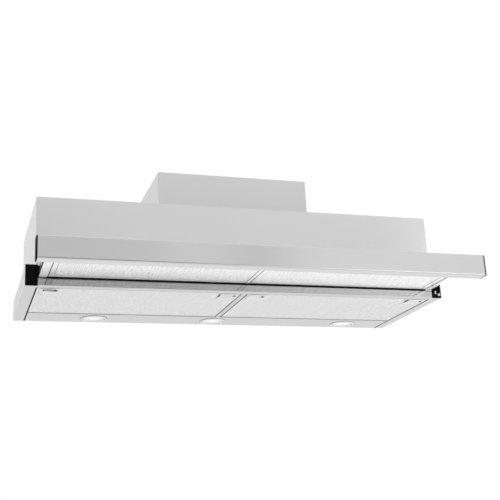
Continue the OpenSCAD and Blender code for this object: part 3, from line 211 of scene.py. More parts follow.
class Finish(Nodes):
    """A material in the making: its shader and the nodes that feed it."""

    def __init__(self, name, base, metallic=0.0, roughness=0.5, **values):
        self.material = bpy.data.materials.new(name)
        super().__init__(self.material)
        self.shader = self.tree.nodes["Principled BSDF"]
        self.base = tuple(base)
        self.set("Base Color", (*self.base, 1.0))
        self.set("Metallic", metallic)
        self.set("Roughness", roughness)
        for socket, value in values.items():
            self.set(socket.replace("_", " "), value)
        self.place = self.add("ShaderNodeTexCoord").outputs["Object"]

    def set(self, socket, value):
        """Gives one of the shader's sockets a fixed value."""
        self.shader.inputs[socket].default_value = value

    def stretched(self, scale, turn=(0.0, 0.0, 0.0)):
        """The place on the piece, stretched and turned."""
        node = self.add("ShaderNodeMapping")
        node.inputs["Scale"].default_value = scale
        node.inputs["Rotation"].default_value = turn
        self.join(self.place, node.inputs["Vector"])
        return node.outputs["Vector"]

    def noise(self, scale, detail=3.0, softness=0.5):
        """Noise of so many grains per metre along each axis."""
        node = self.add("ShaderNodeTexNoise")
        node.inputs["Scale"].default_value = 1.0
        node.inputs["Detail"].default_value = detail
        node.inputs["Roughness"].default_value = softness
        self.join(self.stretched(scale), node.inputs["Vector"])
        return node.outputs["Fac"]

    def cells(self, scale, out="Distance"):
        """Irregular cells, so many per metre along each axis."""
        node = self.add("ShaderNodeTexVoronoi")
        node.inputs["Scale"].default_value = 1.0
        self.join(self.stretched(scale), node.inputs["Vector"])
        return node.outputs[out]

    def between(self, value, low, high, from_low=0.3, from_high=0.7):
        """Takes a value from one range to another."""
        node = self.add("ShaderNodeMapRange")
        ends = {"From Min": from_low, "From Max": from_high, "To Min": low, "To Max": high}
        for socket, number in ends.items():
            node.inputs[socket].default_value = number
        self.join(value, node.inputs["Value"])
        return node.outputs["Result"]

    def tint(self, value, low, high):
        """Makes the colour lighter and darker: value goes from low to high times the base."""
        node = self.add("ShaderNodeMix", data_type="RGBA")
        node.inputs["A"].default_value = (*[c * low for c in self.base], 1.0)
        node.inputs["B"].default_value = (*[min(1.0, c * high) for c in self.base], 1.0)
        self.join(value, node.inputs["Factor"])
        self.join(node.outputs["Result"], self.shader.inputs["Base Color"])

    def mottle(self, value, low, high):
        """The same for a value that lies round the middle of its range, as noise does."""
        self.tint(self.between(value, 0.0, 1.0), low, high)

    def rough(self, value, low, high):
        """Lets the roughness follow a value."""
        self.join(self.between(value, low, high), self.shader.inputs["Roughness"])

    def relief(self, value, depth, strength):
        """Raises the surface by a height in metres."""
        node = self.add("ShaderNodeBump")
        node.inputs["Strength"].default_value = strength
        node.inputs["Distance"].default_value = depth
        self.join(value, node.inputs["Height"])
        if self.shader.inputs["Normal"].is_linked:
            self.join(self.shader.inputs["Normal"].links[0].from_socket, node.inputs["Normal"])
        self.join(node.outputs["Normal"], self.shader.inputs["Normal"])


def satin_sheet(name, base, metallic=0.4, roughness=0.4):
    """Sheet steel with a satin face: hardly any lines, slow clouds."""
    f = Finish(name, base, metallic, roughness)
    lines = f.noise((14.0, 900.0, 900.0), detail=3.0)
    clouds = f.noise((5.0, 5.0, 5.0), detail=2.0)
    grain = f.math("ADD", f.math("MULTIPLY", lines, 0.35), f.math("MULTIPLY", clouds, 0.65))
    f.mottle(grain, 0.985, 1.015)
    f.rough(clouds, roughness - 0.03, roughness + 0.03)
    return f.material


def brushed_steel(name, base, roughness=0.16, lines=2600.0, stretch=0.9):
    """Steel brushed along X: it blurs what it mirrors up and down far more than sideways."""
    f = Finish(name, base, 1.0, roughness, Anisotropic=stretch, Anisotropic_Rotation=0.25)
    around = f.add("ShaderNodeTangent", direction_type="RADIAL", axis="Z")
    f.join(around.outputs["Tangent"], f.shader.inputs["Tangent"])
    fine = f.noise((9.0, lines, lines), 4.0, 0.6)
    broad = f.noise((3.0, 500.0, 500.0), detail=3.0)
    grain = f.math("ADD", f.math("MULTIPLY", fine, 0.7), f.math("MULTIPLY", broad, 0.3))
    f.mottle(grain, 0.965, 1.035)
    f.rough(grain, roughness - 0.03, roughness + 0.03)
    return f.material


def mirror_steel(name, base, roughness=0.1):
    """Bright annealed steel: nearly a mirror, with a faint haze along the rolling."""
    f = Finish(name, base, 1.0, roughness)
    haze = f.noise((12.0, 300.0, 300.0), detail=3.0)
    f.mottle(haze, 0.97, 1.02)
    f.rough(haze, roughness - 0.02, roughness + 0.05)
    f.relief(f.noise((9.0, 30.0, 30.0), detail=1.0), 0.0002, 0.12)
    return f.material


def zinc_plate(name, base, roughness=0.34):
    """Zinc plate: a faint spangle with rolling marks."""
    f = Finish(name, base, 0.95, roughness)
    spangle = f.cells((260.0, 260.0, 260.0), out="Color")
    grey = f.add("ShaderNodeRGBToBW")
    f.join(spangle, grey.inputs["Color"])
    f.tint(grey.outputs["Val"], 0.88, 1.08)
    f.rough(f.noise((500.0, 40.0, 500.0)), roughness - 0.06, roughness + 0.1)
    return f.material


def moulded_plastic(name, base, roughness=0.45, grain=2600.0, depth=0.00004, gloss=0.4):
    """Moulded plastic with a spark-eroded grain."""
    f = Finish(name, base, 0.0, roughness, Specular_IOR_Level=gloss)
    f.relief(f.noise((grain, grain, grain), detail=2.0), depth, 0.6)
    clouds = f.noise((40.0, 40.0, 40.0), detail=2.0)
    f.mottle(clouds, 0.88, 1.15)
    f.rough(clouds, roughness - 0.05, roughness + 0.06)
    return f.material


def gloss_plastic(name, base, roughness=0.16):
    """Smooth plastic with a hard gloss and a little flow in its colour."""
    f = Finish(name, base, 0.0, roughness, Coat_Weight=0.3, Coat_Roughness=0.08)
    flow = f.noise((90.0, 90.0, 90.0), detail=2.0)
    f.mottle(flow, 0.95, 1.04)
    f.rough(flow, roughness - 0.03, roughness + 0.05)
    return f.material


def aluminium_sheet(name, base, metallic, roughness=0.34):
    """Rolled aluminium with faint rolling lines from front to back."""
    f = Finish(name, base, metallic, roughness)
    lines = f.noise((900.0, 30.0, 900.0), detail=4.0)
    f.mottle(lines, 0.98, 1.02)
    f.rough(lines, roughness - 0.04, roughness + 0.04)
    return f.material


def mesh_layers(name, base, metallic, dark):
    """The inner layers of a mesh pack, seen through its outer strands: fine crossed strands."""
    f = Finish(name, base, metallic, 0.3)
    slant, bands, wander = 0.46, 110.0, 0.4
    slanted = []
    for turn in (slant, -slant):
        wave = f.add("ShaderNodeTexWave", bands_direction="Y")
        wave.inputs["Scale"].default_value = bands
        wave.inputs["Distortion"].default_value = wander
        f.join(f.stretched((1.0, 1.0, 1.0), (0.0, 0.0, turn)), wave.inputs["Vector"])
        slanted.append(wave.outputs["Fac"])
    strands = f.math("MAXIMUM", *slanted)
    f.tint(f.between(strands, 0.0, 1.0, from_low=0.35, from_high=0.8), dark, 1.0)
    f.relief(strands, 0.0001, 0.3)
    return f.material


def plain_ink(name, base):
    """Printed ink: a matt film with a soft edge of wear."""
    f = Finish(name, base, 0.0, 0.6)
    wear = f.noise((1800.0, 1800.0, 1800.0), detail=2.0)
    f.mottle(wear, 0.85, 1.05)
    return f.material


def soft_rubber(name, base):
    """Black rubber, matt, with a fine skin."""
    f = Finish(name, base, 0.0, 0.8, Specular_IOR_Level=0.08)
    skin = f.noise((1500.0, 1500.0, 1500.0), detail=3.0)
    f.relief(skin, 0.00005, 0.5)
    f.mottle(skin, 0.8, 1.2)
    return f.material


def frosted_lens(name, base):
    """Frosted lens of a lamp that is off, with painted light: a painted highlight white in the middle,
    painted shade greyer towards its edge.
    """
    f = Finish(name, base, 0.0, 0.16, Coat_Weight=0.5, Coat_Roughness=0.05)
    painted_highlight_falloff = f.add("ShaderNodeVectorMath", operation="DISTANCE")
    f.join(f.add("ShaderNodeTexCoord").outputs["Generated"], painted_highlight_falloff.inputs[0])
    painted_highlight_falloff.inputs[1].default_value = (0.5, 0.5, 0.5)
    # Painted highlight: lighter in the middle of the lens, painted shade greyer towards its edge
    f.tint(f.between(painted_highlight_falloff.outputs["Value"], 1.0, 0.0, from_low=0.14, from_high=0.5), 0.7, 1.06)
    f.relief(f.cells((900.0, 900.0, 900.0)), 0.0001, 0.3)
    return f.material


def circuit_green(name, base):
    """Solder mask over copper tracks."""
    f = Finish(name, base, 0.0, 0.3, Coat_Weight=0.5)
    tracks = f.add("ShaderNodeTexBrick")
    tracks.inputs["Scale"].default_value = 60.0
    tracks.inputs["Mortar Size"].default_value = 0.03
    f.join(f.stretched((1.0, 1.6, 1.0)), tracks.inputs["Vector"])
    f.tint(tracks.outputs["Fac"], 1.0, 2.2)
    return f.material


# ---- Shaping ----


BROKEN_EDGE = {"segments": 2, "profile": 0.6, "affect": "EDGES"}
# Vertices closer than this are one; faces within this angle are flat, and past the other are sharp
SAME_PLACE = 1e-6
FLAT_ANGLE = math.radians(1.0)
SHARP_ANGLE = 0.7
# Edges turned by more than this stay sharp, in radians: on turned pieces and on bevelled ones
SHARP_TURNED = 0.6
SHARP_BEVELLED = 0.5
# Steps round a small head, and round a lamp
SMALL_ROUND = 24
LAMP_ROUND = 96
# Turns a Z axis so that it faces the hood's front
FACING_FRONT = Matrix.Rotation(math.pi / 2, 4, "X")


def bar(bm, low, high, bevel=0.0):
    """A bar between two corners, with its edges broken."""
    middle = (Vector(low) + Vector(high)) / 2
    span = Vector(high) - Vector(low)
    place = Matrix.Translation(middle) @ Matrix.Diagonal((*span, 1.0))
    made = bmesh.ops.create_cube(bm, size=1.0, matrix=place)
    if bevel:
        edges = list({e for v in made["verts"] for e in v.link_edges})
        bmesh.ops.bevel(bm, geom=edges, offset=bevel, **BROKEN_EDGE)


def turned(bm, outline, axis, steps):
    """Turns an outline of (radius, height) points round an axis matrix's Z."""
    rings = []
    for r, h in outline:
        if r == 0.0:
            rings.append([bm.verts.new(axis @ Vector((0.0, 0.0, h)))])
            continue
        angles = [2 * math.pi * i / steps for i in range(steps)]
        rings.append([bm.verts.new(axis @ Vector((r * math.cos(a), r * math.sin(a), h))) for a in angles])
    for low, high in zip(rings, rings[1:]):
        for i in range(steps):
            j = (i + 1) % steps
            if len(low) == 1 and len(high) == 1:
                break
            if len(low) == 1:
                bm.faces.new((low[0], high[j], high[i]))
            elif len(high) == 1:
                bm.faces.new((low[i], low[j], high[0]))
            else:
                bm.faces.new((low[i], low[j], high[j], high[i]))


def placed(name, data):
    """A new object in the scene."""
    thing = bpy.data.objects.new(name, data)
    bpy.context.scene.collection.objects.link(thing)
    return thing


def piece(name, body, finish, shape, smooth=None):
    """A new piece: shape(bm) draws it, it rides on a body and takes a slot's finish."""
    mesh = bpy.data.meshes.new(name)
    bm = bmesh.new()
    shape(bm)
    bmesh.ops.recalc_face_normals(bm, faces=bm.faces)
    bm.to_mesh(mesh)
    bm.free()
    if not mesh.polygons:
        raise RuntimeError(f"{name} came out empty")
    thing = placed(name, mesh)
    mesh.materials.append(finish)
    if smooth is not None:
        mesh.shade_smooth()
        mesh.set_sharp_from_angle(angle=smooth)
    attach(thing, body)
    return thing


def dress(finish, *nodes):
    """Gives CAD nodes a finish."""
    for name in nodes:
        if name not in frame["nodes"]:
            raise RuntimeError(f"the frame has no node {name}")
        mesh = frame["nodes"][name].data
        for i in range(len(mesh.materials)):
            mesh.materials[i] = finish
        if not mesh.materials:
            mesh.materials.append(finish)


def softened(name, finish, width, *nodes):
    """Copies CAD nodes with their sharp edges broken; each copy takes its node's place."""
    for node in nodes:

        def shape(bm, node=node):
            bm.from_mesh(frame["nodes"][node].data)
            bmesh.ops.remove_doubles(bm, verts=bm.verts, dist=SAME_PLACE)
            bmesh.ops.dissolve_limit(bm, angle_limit=FLAT_ANGLE, verts=bm.verts, edges=bm.edges)
            sharp = [e for e in bm.edges if len(e.link_faces) == 2 and e.calc_face_angle() > SHARP_ANGLE]
            bmesh.ops.bevel(bm, geom=sharp, offset=width, clamp_overlap=True, **BROKEN_EDGE)

        copy = piece(f"{node}_{name}", body_of(node), finish, shape, SHARP_BEVELLED)
        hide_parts(node)


def islands(node):
    """The low and high corners of each separate solid in a CAD node."""
    bm = bmesh.new()
    bm.from_mesh(frame["nodes"][node].data)
    bmesh.ops.remove_doubles(bm, verts=bm.verts, dist=SAME_PLACE)
    left = set(bm.verts)
    boxes = []
    while left:
        todo, found = [left.pop()], []
        while todo:
            vert = todo.pop()
            found.append(vert.co.copy())
            for edge in vert.link_edges:
                other = edge.other_vert(vert)
                if other in left:
                    left.remove(other)
                    todo.append(other)
        boxes.append([Vector(pick(c[i] for c in found) for i in range(3)) for pick in (min, max)])
    bm.free()
    return sorted(boxes, key=lambda box: tuple(box[0]))


def body_of(node):
    """The body that a CAD node rides on."""
    return frame["nodes"][node]["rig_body"]


class HoodOperator:
    """What every operator of the hood shares: it builds its pieces and raises if it can't."""

    bl_options = {"REGISTER", "UNDO"}

    def execute(self, context):
        self.build()
        return {"FINISHED"}


# ---- Dark rubber in the seams: painted shade ----


# Foot and top of a strip, above the cassette's lower face beside it
STRIP_FOOT = 0.0001
STRIP_TOP = 0.0035
# How far a trim stands below that face: a deep one in the tray or on the beam, and any other
DEEP_TRIM_DROP = 0.00025
TRIM_DROP = 0.0002
# The divider's trims: their width as a share of the channels', and how far back they start
DIVIDER_TRIM_SHARE = 0.8
DIVIDER_TRIM_FRONT = 0.004
# The strip in front of the lamp panel stops short of a cassette's left and right end by these
BACK_STRIP_ENDS = (0.036, 0.042)
# Front and back edge of its trim, from the lamp panel's front edge
BACK_TRIM = (-0.0006, 0.0016)
# The drawer's trims, from their seam's wall outwards
DRAWER_INNER_TRIM = (-0.0002, 0.0012)
DRAWER_OUTER_TRIM = {"left": (-0.0012, 0.0004), "right": (0.0027, 0.0047)}
# The beam's dark strip, painted shade above the lip: its ends and its back edge from the lip seal's, its
# front edge from the lip's
BEAM_SHADE_ENDS = 0.005
BEAM_SHADE_BACK = 0.0066
BEAM_SHADE_FRONT = 0.003
# The dark trims on the drawer's cassettes, painted shade at the mesh's outer end: in from the outer end,
# wide, and short of front and back
CASSETTE_TRIM_IN = 0.0094
CASSETTE_TRIM_W = {"left": 0.0006, "right": 0.0011}
CASSETTE_TRIM_ENDS = 0.009


def mirrored(side, a, b):
    """Two distances from the middle as a low and a high x, on the left (-1) or the right (1)."""
    return sorted((side * a, side * b))


def strip(bm, x, y, face):
    """A thin dark strip that stands in a seam, from just above a cassette's lower face: painted shade in the
    gap.
    """
    bar(bm, (x[0], y[0], face + STRIP_FOOT), (x[1], y[1], face + STRIP_TOP))


def trim(bm, x, y, face, drop=TRIM_DROP):
    """A flat dark trim that shows a little below a cassette's lower face: painted shade along the seam."""
    bar(bm, (x[0], y[0], face - drop), (x[1], y[1], face + STRIP_FOOT))


# ---- Casing, tray and drawer ----


class HOOD_OT_casing(HoodOperator, bpy.types.Operator):
    """Satin steel on the casing and the motor box"""

    bl_idname = "hood.casing"
    bl_label = "Casing"

    def build(self):
        dress(satin_sheet("casing_satin", colours().casing), "upper_casing", "casing_top", "casing_back")
        dress(satin_sheet("motor_box_satin", colours().motor_box), "motor_housing")


class HOOD_OT_tray(HoodOperator, bpy.types.Operator):
    """Satin steel on the channels, lamp panel and divider, bright steel on the lip, rubber in the seams,
    where the dark strips beside the cassettes are painted shade
    """

    bl_idname = "hood.tray"
    bl_label = "Tray"

    def build(self):
        tray = satin_sheet("tray_satin", colours().tray, metallic=0.5, roughness=0.36)
        dress(tray, "left_side_channel", "right_side_channel", "lamp_panel", "filter_divider")
        bright = mirror_steel("lip_steel", colours().lip)
        dress(bright, "front_lip")
        # Black rubber for the lip's seal, and for the dark strips that are painted shade in the seams
        rubber = soft_rubber("seal_rubber", colours().rubber)
        dress(rubber, "lip_seal")
        piece("lip_edge", "hood", bright, self.lip_edge)
        piece("tray_seam_shade_strips", "hood", rubber, self.seams)

    def lip_edge(self, bm):
        """The lip's folded upper edge, raised over a short way at its right end."""
        low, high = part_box("front_lip")
        thick, lap, rise, bevel = 0.001, 0.0006, 0.0008, 0.0003
        end_w, end_rise = 0.0145, 0.004
        for x, up in ((low.x, rise), (high.x - end_w, end_rise)):
            bar(bm, (x, low.y, high.z - lap), (high.x, low.y + thick, high.z + up), bevel)

    def seams(self, bm):
        """Dark rubber on the channels, the divider and the lamp panel, beside the cassettes: painted shade
        in the seams.
        """
        lamp_panel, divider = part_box("lamp_panel"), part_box("filter_divider")
        left, right = (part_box(f"filter_{side}_frame") for side in ("left", "right"))
        t, wide, face = sizes().seal, sizes().trim, left[0].z
        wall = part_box("right_control_plate")[0].x
        front, back = left[0].y, lamp_panel[0].y
        for side in (-1, 1):
            along = (front, lamp_panel[1].y)
            strip(bm, mirrored(side, wall - t, wall), along, face)
            trim(bm, mirrored(side, wall - t, wall - t + wide), along, face, DEEP_TRIM_DROP)
        for edge in (divider[0].x, divider[1].x):
            strip(bm, sorted((edge, edge + math.copysign(t, edge))), (front, left[1].y), face)
            outer = edge + math.copysign(DIVIDER_TRIM_SHARE * wide, edge)
            along = (front + DIVIDER_TRIM_FRONT, left[1].y)
            trim(bm, sorted((edge, outer)), along, face, DEEP_TRIM_DROP)
        for low, high in (left, right):
            short_left, short_right = BACK_STRIP_ENDS
            strip(bm, (low.x + short_left, high.x - short_right), (back - t, back), face)
            trim(bm, (low.x, high.x), [back + step for step in BACK_TRIM], face)


class HOOD_OT_drawer(HoodOperator, bpy.types.Operator):
    """Pale steel on the drawer's frame and its top plate, dark rubber strips in the seams and under the beam
    as painted shade
    """

    bl_idname = "hood.drawer"
    bl_label = "Drawer"

    def build(self):
        pale = satin_sheet("drawer_satin", colours().drawer, metallic=0.25, roughness=0.3)
        dress(pale, "drawer_frame", "drawer_top_plate")
        # Black rubber for the dark strips: painted shade in the seams and under the beam
        rubber = soft_rubber("drawer_shade_rubber", colours().rubber)
        piece("drawer_seam_shade_strips", "drawer", rubber, self.seams)
        piece("drawer_beam_shade_strip", "drawer", rubber, self.beam_shade_strip)

    def beam_shade_strip(self, bm):
        """A flat dark strip under the frame's middle beam, above the tray's lip: painted shade that widens
        the dark line there.
        """
        low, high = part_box("lip_seal")
        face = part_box("drawer_filter_left_frame")[0].z
        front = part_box("front_lip")[0].y - BEAM_SHADE_FRONT
        x = (low.x + BEAM_SHADE_ENDS, high.x - BEAM_SHADE_ENDS)
        trim(bm, x, (front, high.y - BEAM_SHADE_BACK), face, DEEP_TRIM_DROP)

    def seams(self, bm):
        """Dark rubber strips on the drawer's frame, beside its cassettes: painted shade in the seams."""
        t, gap = sizes().seal, sizes().seam
        for side, place in ((-1, "left"), (1, "right")):
            low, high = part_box(f"drawer_filter_{place}_frame")
            outer = max(abs(low.x), abs(high.x)) + gap
            inner = min(abs(low.x), abs(high.x)) - gap
            for a, b in ((outer - t, outer), (inner, inner + t)):
                strip(bm, mirrored(side, a, b), (low.y, high.y), low.z)
            for wall, (near, far) in ((inner, DRAWER_INNER_TRIM), (outer, DRAWER_OUTER_TRIM[place])):
                trim(bm, mirrored(side, wall + near, wall + far), (low.y, high.y), low.z)


class HOOD_OT_front_panel(HoodOperator, bpy.types.Operator):
    """Brushed steel on the front panel, black caps at its ends"""

    bl_idname = "hood.front_panel"
    bl_label = "Front panel"

    def build(self):
        dress(brushed_steel("panel_steel", colours().panel), "front_panel")
        cap = moulded_plastic("cap_black", colours().black, roughness=0.55, gloss=0.03)
        softened("moulded", cap, sizes().edge / 2, "panel_caps")


# ---- Cassettes ----


CASSETTES = ("drawer_filter_left", "drawer_filter_right", "filter_left", "filter_right")
# The latches that each of the tray's cassettes carries
LATCHES_OF = {"filter_left": ("left_outer", "left_inner"), "filter_right": ("right_inner", "right_outer")}
# Vertices this close to a mesh pack's lowest one belong to its window face
FACE_REACH = 0.0001
# From a pack's lowest face: the inner layers' face, and the strands' lower and upper side
LAYERS_IN = 0.0001
STRANDS = (-0.0001, 0.00006)
# A strand's lower side as a share of its upper one, where its edges are broken
LOWER_SIDE = 0.6
# Room that the outer mesh leaves round a latch: at its sides, in front and behind
POCKET_SIDE = 0.006
POCKET_FRONT = 0.01
POCKET_BACK = 0.0062


def strands(bm, low, high, holes, z_low, z_high):
    """A sheet of expanded mesh: zigzag strands that meet at their points."""
    s = sizes()
    half_long, half_short = s.mesh_long / 2, s.mesh_short / 2
    columns = int((high[0] - low[0]) / half_long)
    rows = int((high[1] - low[1]) / s.mesh_short)
    half_long = (high[0] - low[0]) / columns
    half_short = (high[1] - low[1]) / rows / 2
    w = s.strand / 2

    def blocked(x, y):
        """Whether a place lies in a hole."""
        return any(a[0] <= x <= b[0] and a[1] <= y <= b[1] for a, b in holes)

    for row in range(rows):
        middle = low[1] + (2 * row + 1) * half_short
        for flip in (-1, 1):
            run = []
            for column in range(columns + 1):
                x = low[0] + column * half_long
                reach = half_short - w if column % 2 else w
                y = middle + flip * reach
                if blocked(x, y):
                    strand(bm, run, w, z_low, z_high)
                    run = []
                else:
                    run.append((x, y))
            strand(bm, run, w, z_low, z_high)


def strand(bm, run, w, z_low, z_high):
    """One zigzag strand, rolled flat, with its lower edges broken."""
    if len(run) < 2:
        return
    outline = ((-w, z_high), (w, z_high), (LOWER_SIDE * w, z_low), (-LOWER_SIDE * w, z_low))
    rings = [tuple(bm.verts.new((x, y + dy, z)) for dy, z in outline) for x, y in run]
    for a, b in zip(rings, rings[1:]):
        for i in range(4):
            j = (i + 1) % 4
            bm.faces.new((a[i], b[i], b[j], a[j]))
    bm.faces.new(rings[0])
    bm.faces.new(rings[-1][::-1])


class HOOD_OT_cassettes(HoodOperator, bpy.types.Operator):
    """Aluminium frames, mesh packs and their outer sheets of expanded mesh"""

    bl_idname = "hood.cassettes"
    bl_label = "Grease cassettes"

    def build(self):
        c = colours()
        for place, base, edge, metallic, dark, names in (
            ("tray", c.mesh, c.aluminium, 0.75, 0.5, CASSETTES[2:]),
            # The drawer's cassettes take the lighter mesh colour, also on their frames, with no darkening
            # between the layers' strands: painted light
            ("drawer", c.drawer_mesh_painted_light, c.drawer_mesh_painted_light, 0.55, 1.0, CASSETTES[:2]),
        ):
            rim = aluminium_sheet(f"{place}_cassette", edge, metallic=metallic - 0.05)
            layers = mesh_layers(f"{place}_mesh_layers", base, metallic, dark)
            outer = aluminium_sheet(f"{place}_mesh_strands", base, roughness=0.28, metallic=metallic)
            for name in names:
                dress(rim, f"{name}_frame")
                self.pack(name, layers)
                self.outer_mesh(name, outer)
        # Dark rubber for painted shade along the drawer cassettes' outer mesh ends
        rubber = soft_rubber("cassette_shade_rubber", c.rubber)
        for name in CASSETTES[:2]:
            self.painted_shade_trim(name, rubber)

    def painted_shade_trim(self, name, finish):
        """A thin dark trim on a drawer cassette's frame, along the mesh's outer end: painted shade in the
        gap there.
        """
        low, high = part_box(f"{name}_frame")
        side, place = (-1, "left") if "left" in name else (1, "right")
        outer = max(abs(low.x), abs(high.x)) - CASSETTE_TRIM_IN
        x = mirrored(side, outer, outer - CASSETTE_TRIM_W[place])
        y = (low.y + CASSETTE_TRIM_ENDS, high.y - CASSETTE_TRIM_ENDS)

        def shape(bm):
            trim(bm, x, y, low.z)

        piece(f"{name}_painted_shade_trim", body_of(f"{name}_mesh"), finish, shape)

    def window(self, name):
        """The corners of a cassette's window, read from its mesh pack's lowest face."""
        mesh = frame["nodes"][f"{name}_mesh"].data
        low_z = min(v.co.z for v in mesh.vertices)
        face = [v.co for v in mesh.vertices if v.co.z < low_z + FACE_REACH]
        return (
            (min(c.x for c in face), min(c.y for c in face)),
            (max(c.x for c in face), max(c.y for c in face)),
            low_z,
        )

    def pockets(self, name):
        """Places that the outer mesh leaves free for the latches."""
        places = []
        for latch in LATCHES_OF.get(name, ()):
            low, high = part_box(f"latch_{latch}")
            near = (low.x - POCKET_SIDE, low.y - POCKET_FRONT)
            places.append((near, (high.x + POCKET_SIDE, high.y + POCKET_BACK)))
        return places

    def pack(self, name, finish):
        """The inner layers: the CAD pack, with its window face moved in behind the outer mesh."""
        node = f"{name}_mesh"
        low_z = self.window(name)[2]

        def shape(bm):
            bm.from_mesh(frame["nodes"][node].data)
            for v in bm.verts:
                if v.co.z < low_z + FACE_REACH:
                    v.co.z = low_z + LAYERS_IN

        pack = piece(f"{name}_pack", body_of(node), finish, shape)
        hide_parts(node)

    def outer_mesh(self, name, finish):
        """The outer sheet of expanded mesh, over the whole window but for the latches."""
        low, high, low_z = self.window(name)
        holes = self.pockets(name)

        def shape(bm):
            strands(bm, low, high, holes, low_z + STRANDS[0], low_z + STRANDS[1])

        piece(f"{name}_outer_mesh", body_of(f"{name}_mesh"), finish, shape)


# ---- Latches ----


LATCHES = (("left", "outer"), ("left", "inner"), ("right", "inner"), ("right", "outer"))
# Latches with a dark bar beside them as painted shade, and the one whose slot is filled by a deep grey grip
# and edged dark as painted shade
SIDE_SHADED_LATCHES = (("left", "inner"), ("right", "outer"))
DEEP_LATCH = ("left", "outer")
# Outline of a latch's dark dot, painted shade at the slot's right end: radius, and height from the latch's
# lower face
SLOT_SHADE_DOT_OUTLINE = ((0.0, -0.0014), (0.0027, -0.0012), (0.0034, -0.0004), (0.0034, 0.0006), (0.0, 0.0006))
SLOT_SHADE_DOT_ROUND = 28
# Low and high corner of a dark bar, painted shade at the latch's left side, from the latch's lowest corner
SIDE_SHADE_LOW = Vector((-0.0004, 0.008, -0.0002))
SIDE_SHADE_HIGH = Vector((0.002, 0.0286, 0.0006))


class HOOD_OT_latches(HoodOperator, bpy.types.Operator):
    """Satin plastic finger latches, with dark dots, bars and a slot edge as painted shade, and grips in
    their finger slots, the deep grey one also painted shade
    """

    bl_idname = "hood.latches"
    bl_label = "Latches"

    def build(self):
        c = colours()
        plastic = moulded_plastic("latch_plastic", c.latch, roughness=0.42, gloss=0.15)
        # Near-black plastic for the latches' dots, bars and slot edge: painted shade
        dark = moulded_plastic("latch_stop", c.black, roughness=0.5, gloss=0.06)
        # Grey plastic for the deep slot's fill: painted shade
        grip = moulded_plastic("latch_grip", c.grip)
        for latch in LATCHES:
            node = "latch_{}_{}".format(*latch)
            softened("moulded", plastic, sizes().edge * 1.5, node)
            self.low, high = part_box(node)
            self.middle = (self.low.x + high.x) / 2
            deep = latch == DEEP_LATCH
            parts = [("stop", dark, self.stop)]
            if latch in SIDE_SHADED_LATCHES:
                parts.append(("guide", dark, self.guide))
            if deep:
                parts.append(("slot_rim_shade", dark, self.slot_rim_shade))
            parts.append(("grip", grip, self.slot_shade_fill) if deep else ("grip", plastic, self.flat_grip))
            for name, finish, shape in parts:
                piece(f"{node}_{name}", body_of(node), finish, shape)

    def slot(self):
        """The middle of the finger slot."""
        s = sizes()
        return Vector((self.middle, self.low.y + s.slot_in + s.slot_d / 2, self.low.z))

    def stop(self, bm):
        """A round dark dot at the slot's right end: painted shade of a hole there."""
        end = self.slot() + Vector((sizes().slot_w / 2, 0.0, 0.0))
        turned(bm, SLOT_SHADE_DOT_OUTLINE, Matrix.Translation(end), SLOT_SHADE_DOT_ROUND)

    def guide(self, bm):
        """A dark bar at the latch's left side: painted shade along its edge."""
        bar(bm, self.low + SIDE_SHADE_LOW, self.low + SIDE_SHADE_HIGH)

    def slot_rim_shade(self, bm):
        """A dark edge round the slot: painted shade at its rim."""
        self.plate(bm, shorter=0.0, wider=0.004, foot=-0.0005, top=0.0003, bevel=0.0002)

    def slot_shade_fill(self, bm):
        """A grey grip that reaches past the slot, in front and behind: painted shade in the deep slot."""
        self.plate(bm, shorter=0.002, wider=0.002, foot=-0.0006, top=0.0, bevel=0.0001)

    def flat_grip(self, bm):
        """A grip that just covers the slot."""
        self.plate(bm, shorter=0.002, wider=0.0002, foot=-0.0006, top=0.0, bevel=0.0001)

    def plate(self, bm, shorter, wider, foot, top, bevel):
        """A plate over the slot: shorter at both ends, wider in front and behind."""
        c, s = self.slot(), sizes()
        half = Vector((s.slot_w / 2 - shorter, s.slot_d / 2 + wider, 0.0))
        bar(bm, c - half + Vector((0.0, 0.0, foot)), c + half + Vector((0.0, 0.0, top)), bevel)


# ---- Lamps ----


# Outline of a dark dot in a lamp's rim, painted shade of the rim's hole, and how far the dots stand from the
# lamp's middle
PIN_OUTLINE = ((0.0, -0.0007), (0.0010, -0.0006), (0.0014, -0.0002), (0.0014, 0.0006), (0.0, 0.0006))
PIN_OFF = 0.0247
# Outline of the dark ring, painted shade round the lamp's rim: out from the lamp's rim, and up from its seat
# above the lower face
RING_OUTLINE = (
    (0.0001, -0.0004), (0.0005, -0.0004), (0.0007, -0.0001),
    (0.0007, 0.0001), (0.0001, 0.0001), (0.0001, -0.0004),
)
RING_SEAT = 0.0012
# Outline of a lens's rim: in from its edge, and up from its lower face
RIM_OUTLINE = ((0.0, 0.0005), (0.0003, 0.0001), (0.0008, 0.0), (0.0024, 0.0), (0.003, 0.0003))
# The dished face: in from the lens's edge, how high it starts, how deep it is, and its fine rings
DISH_IN = 0.0036
DISH_LOW = 0.0003
DISH_DEPTH = 0.0013
DISH_RINGS = 14
DISH_WAVE = 0.00012


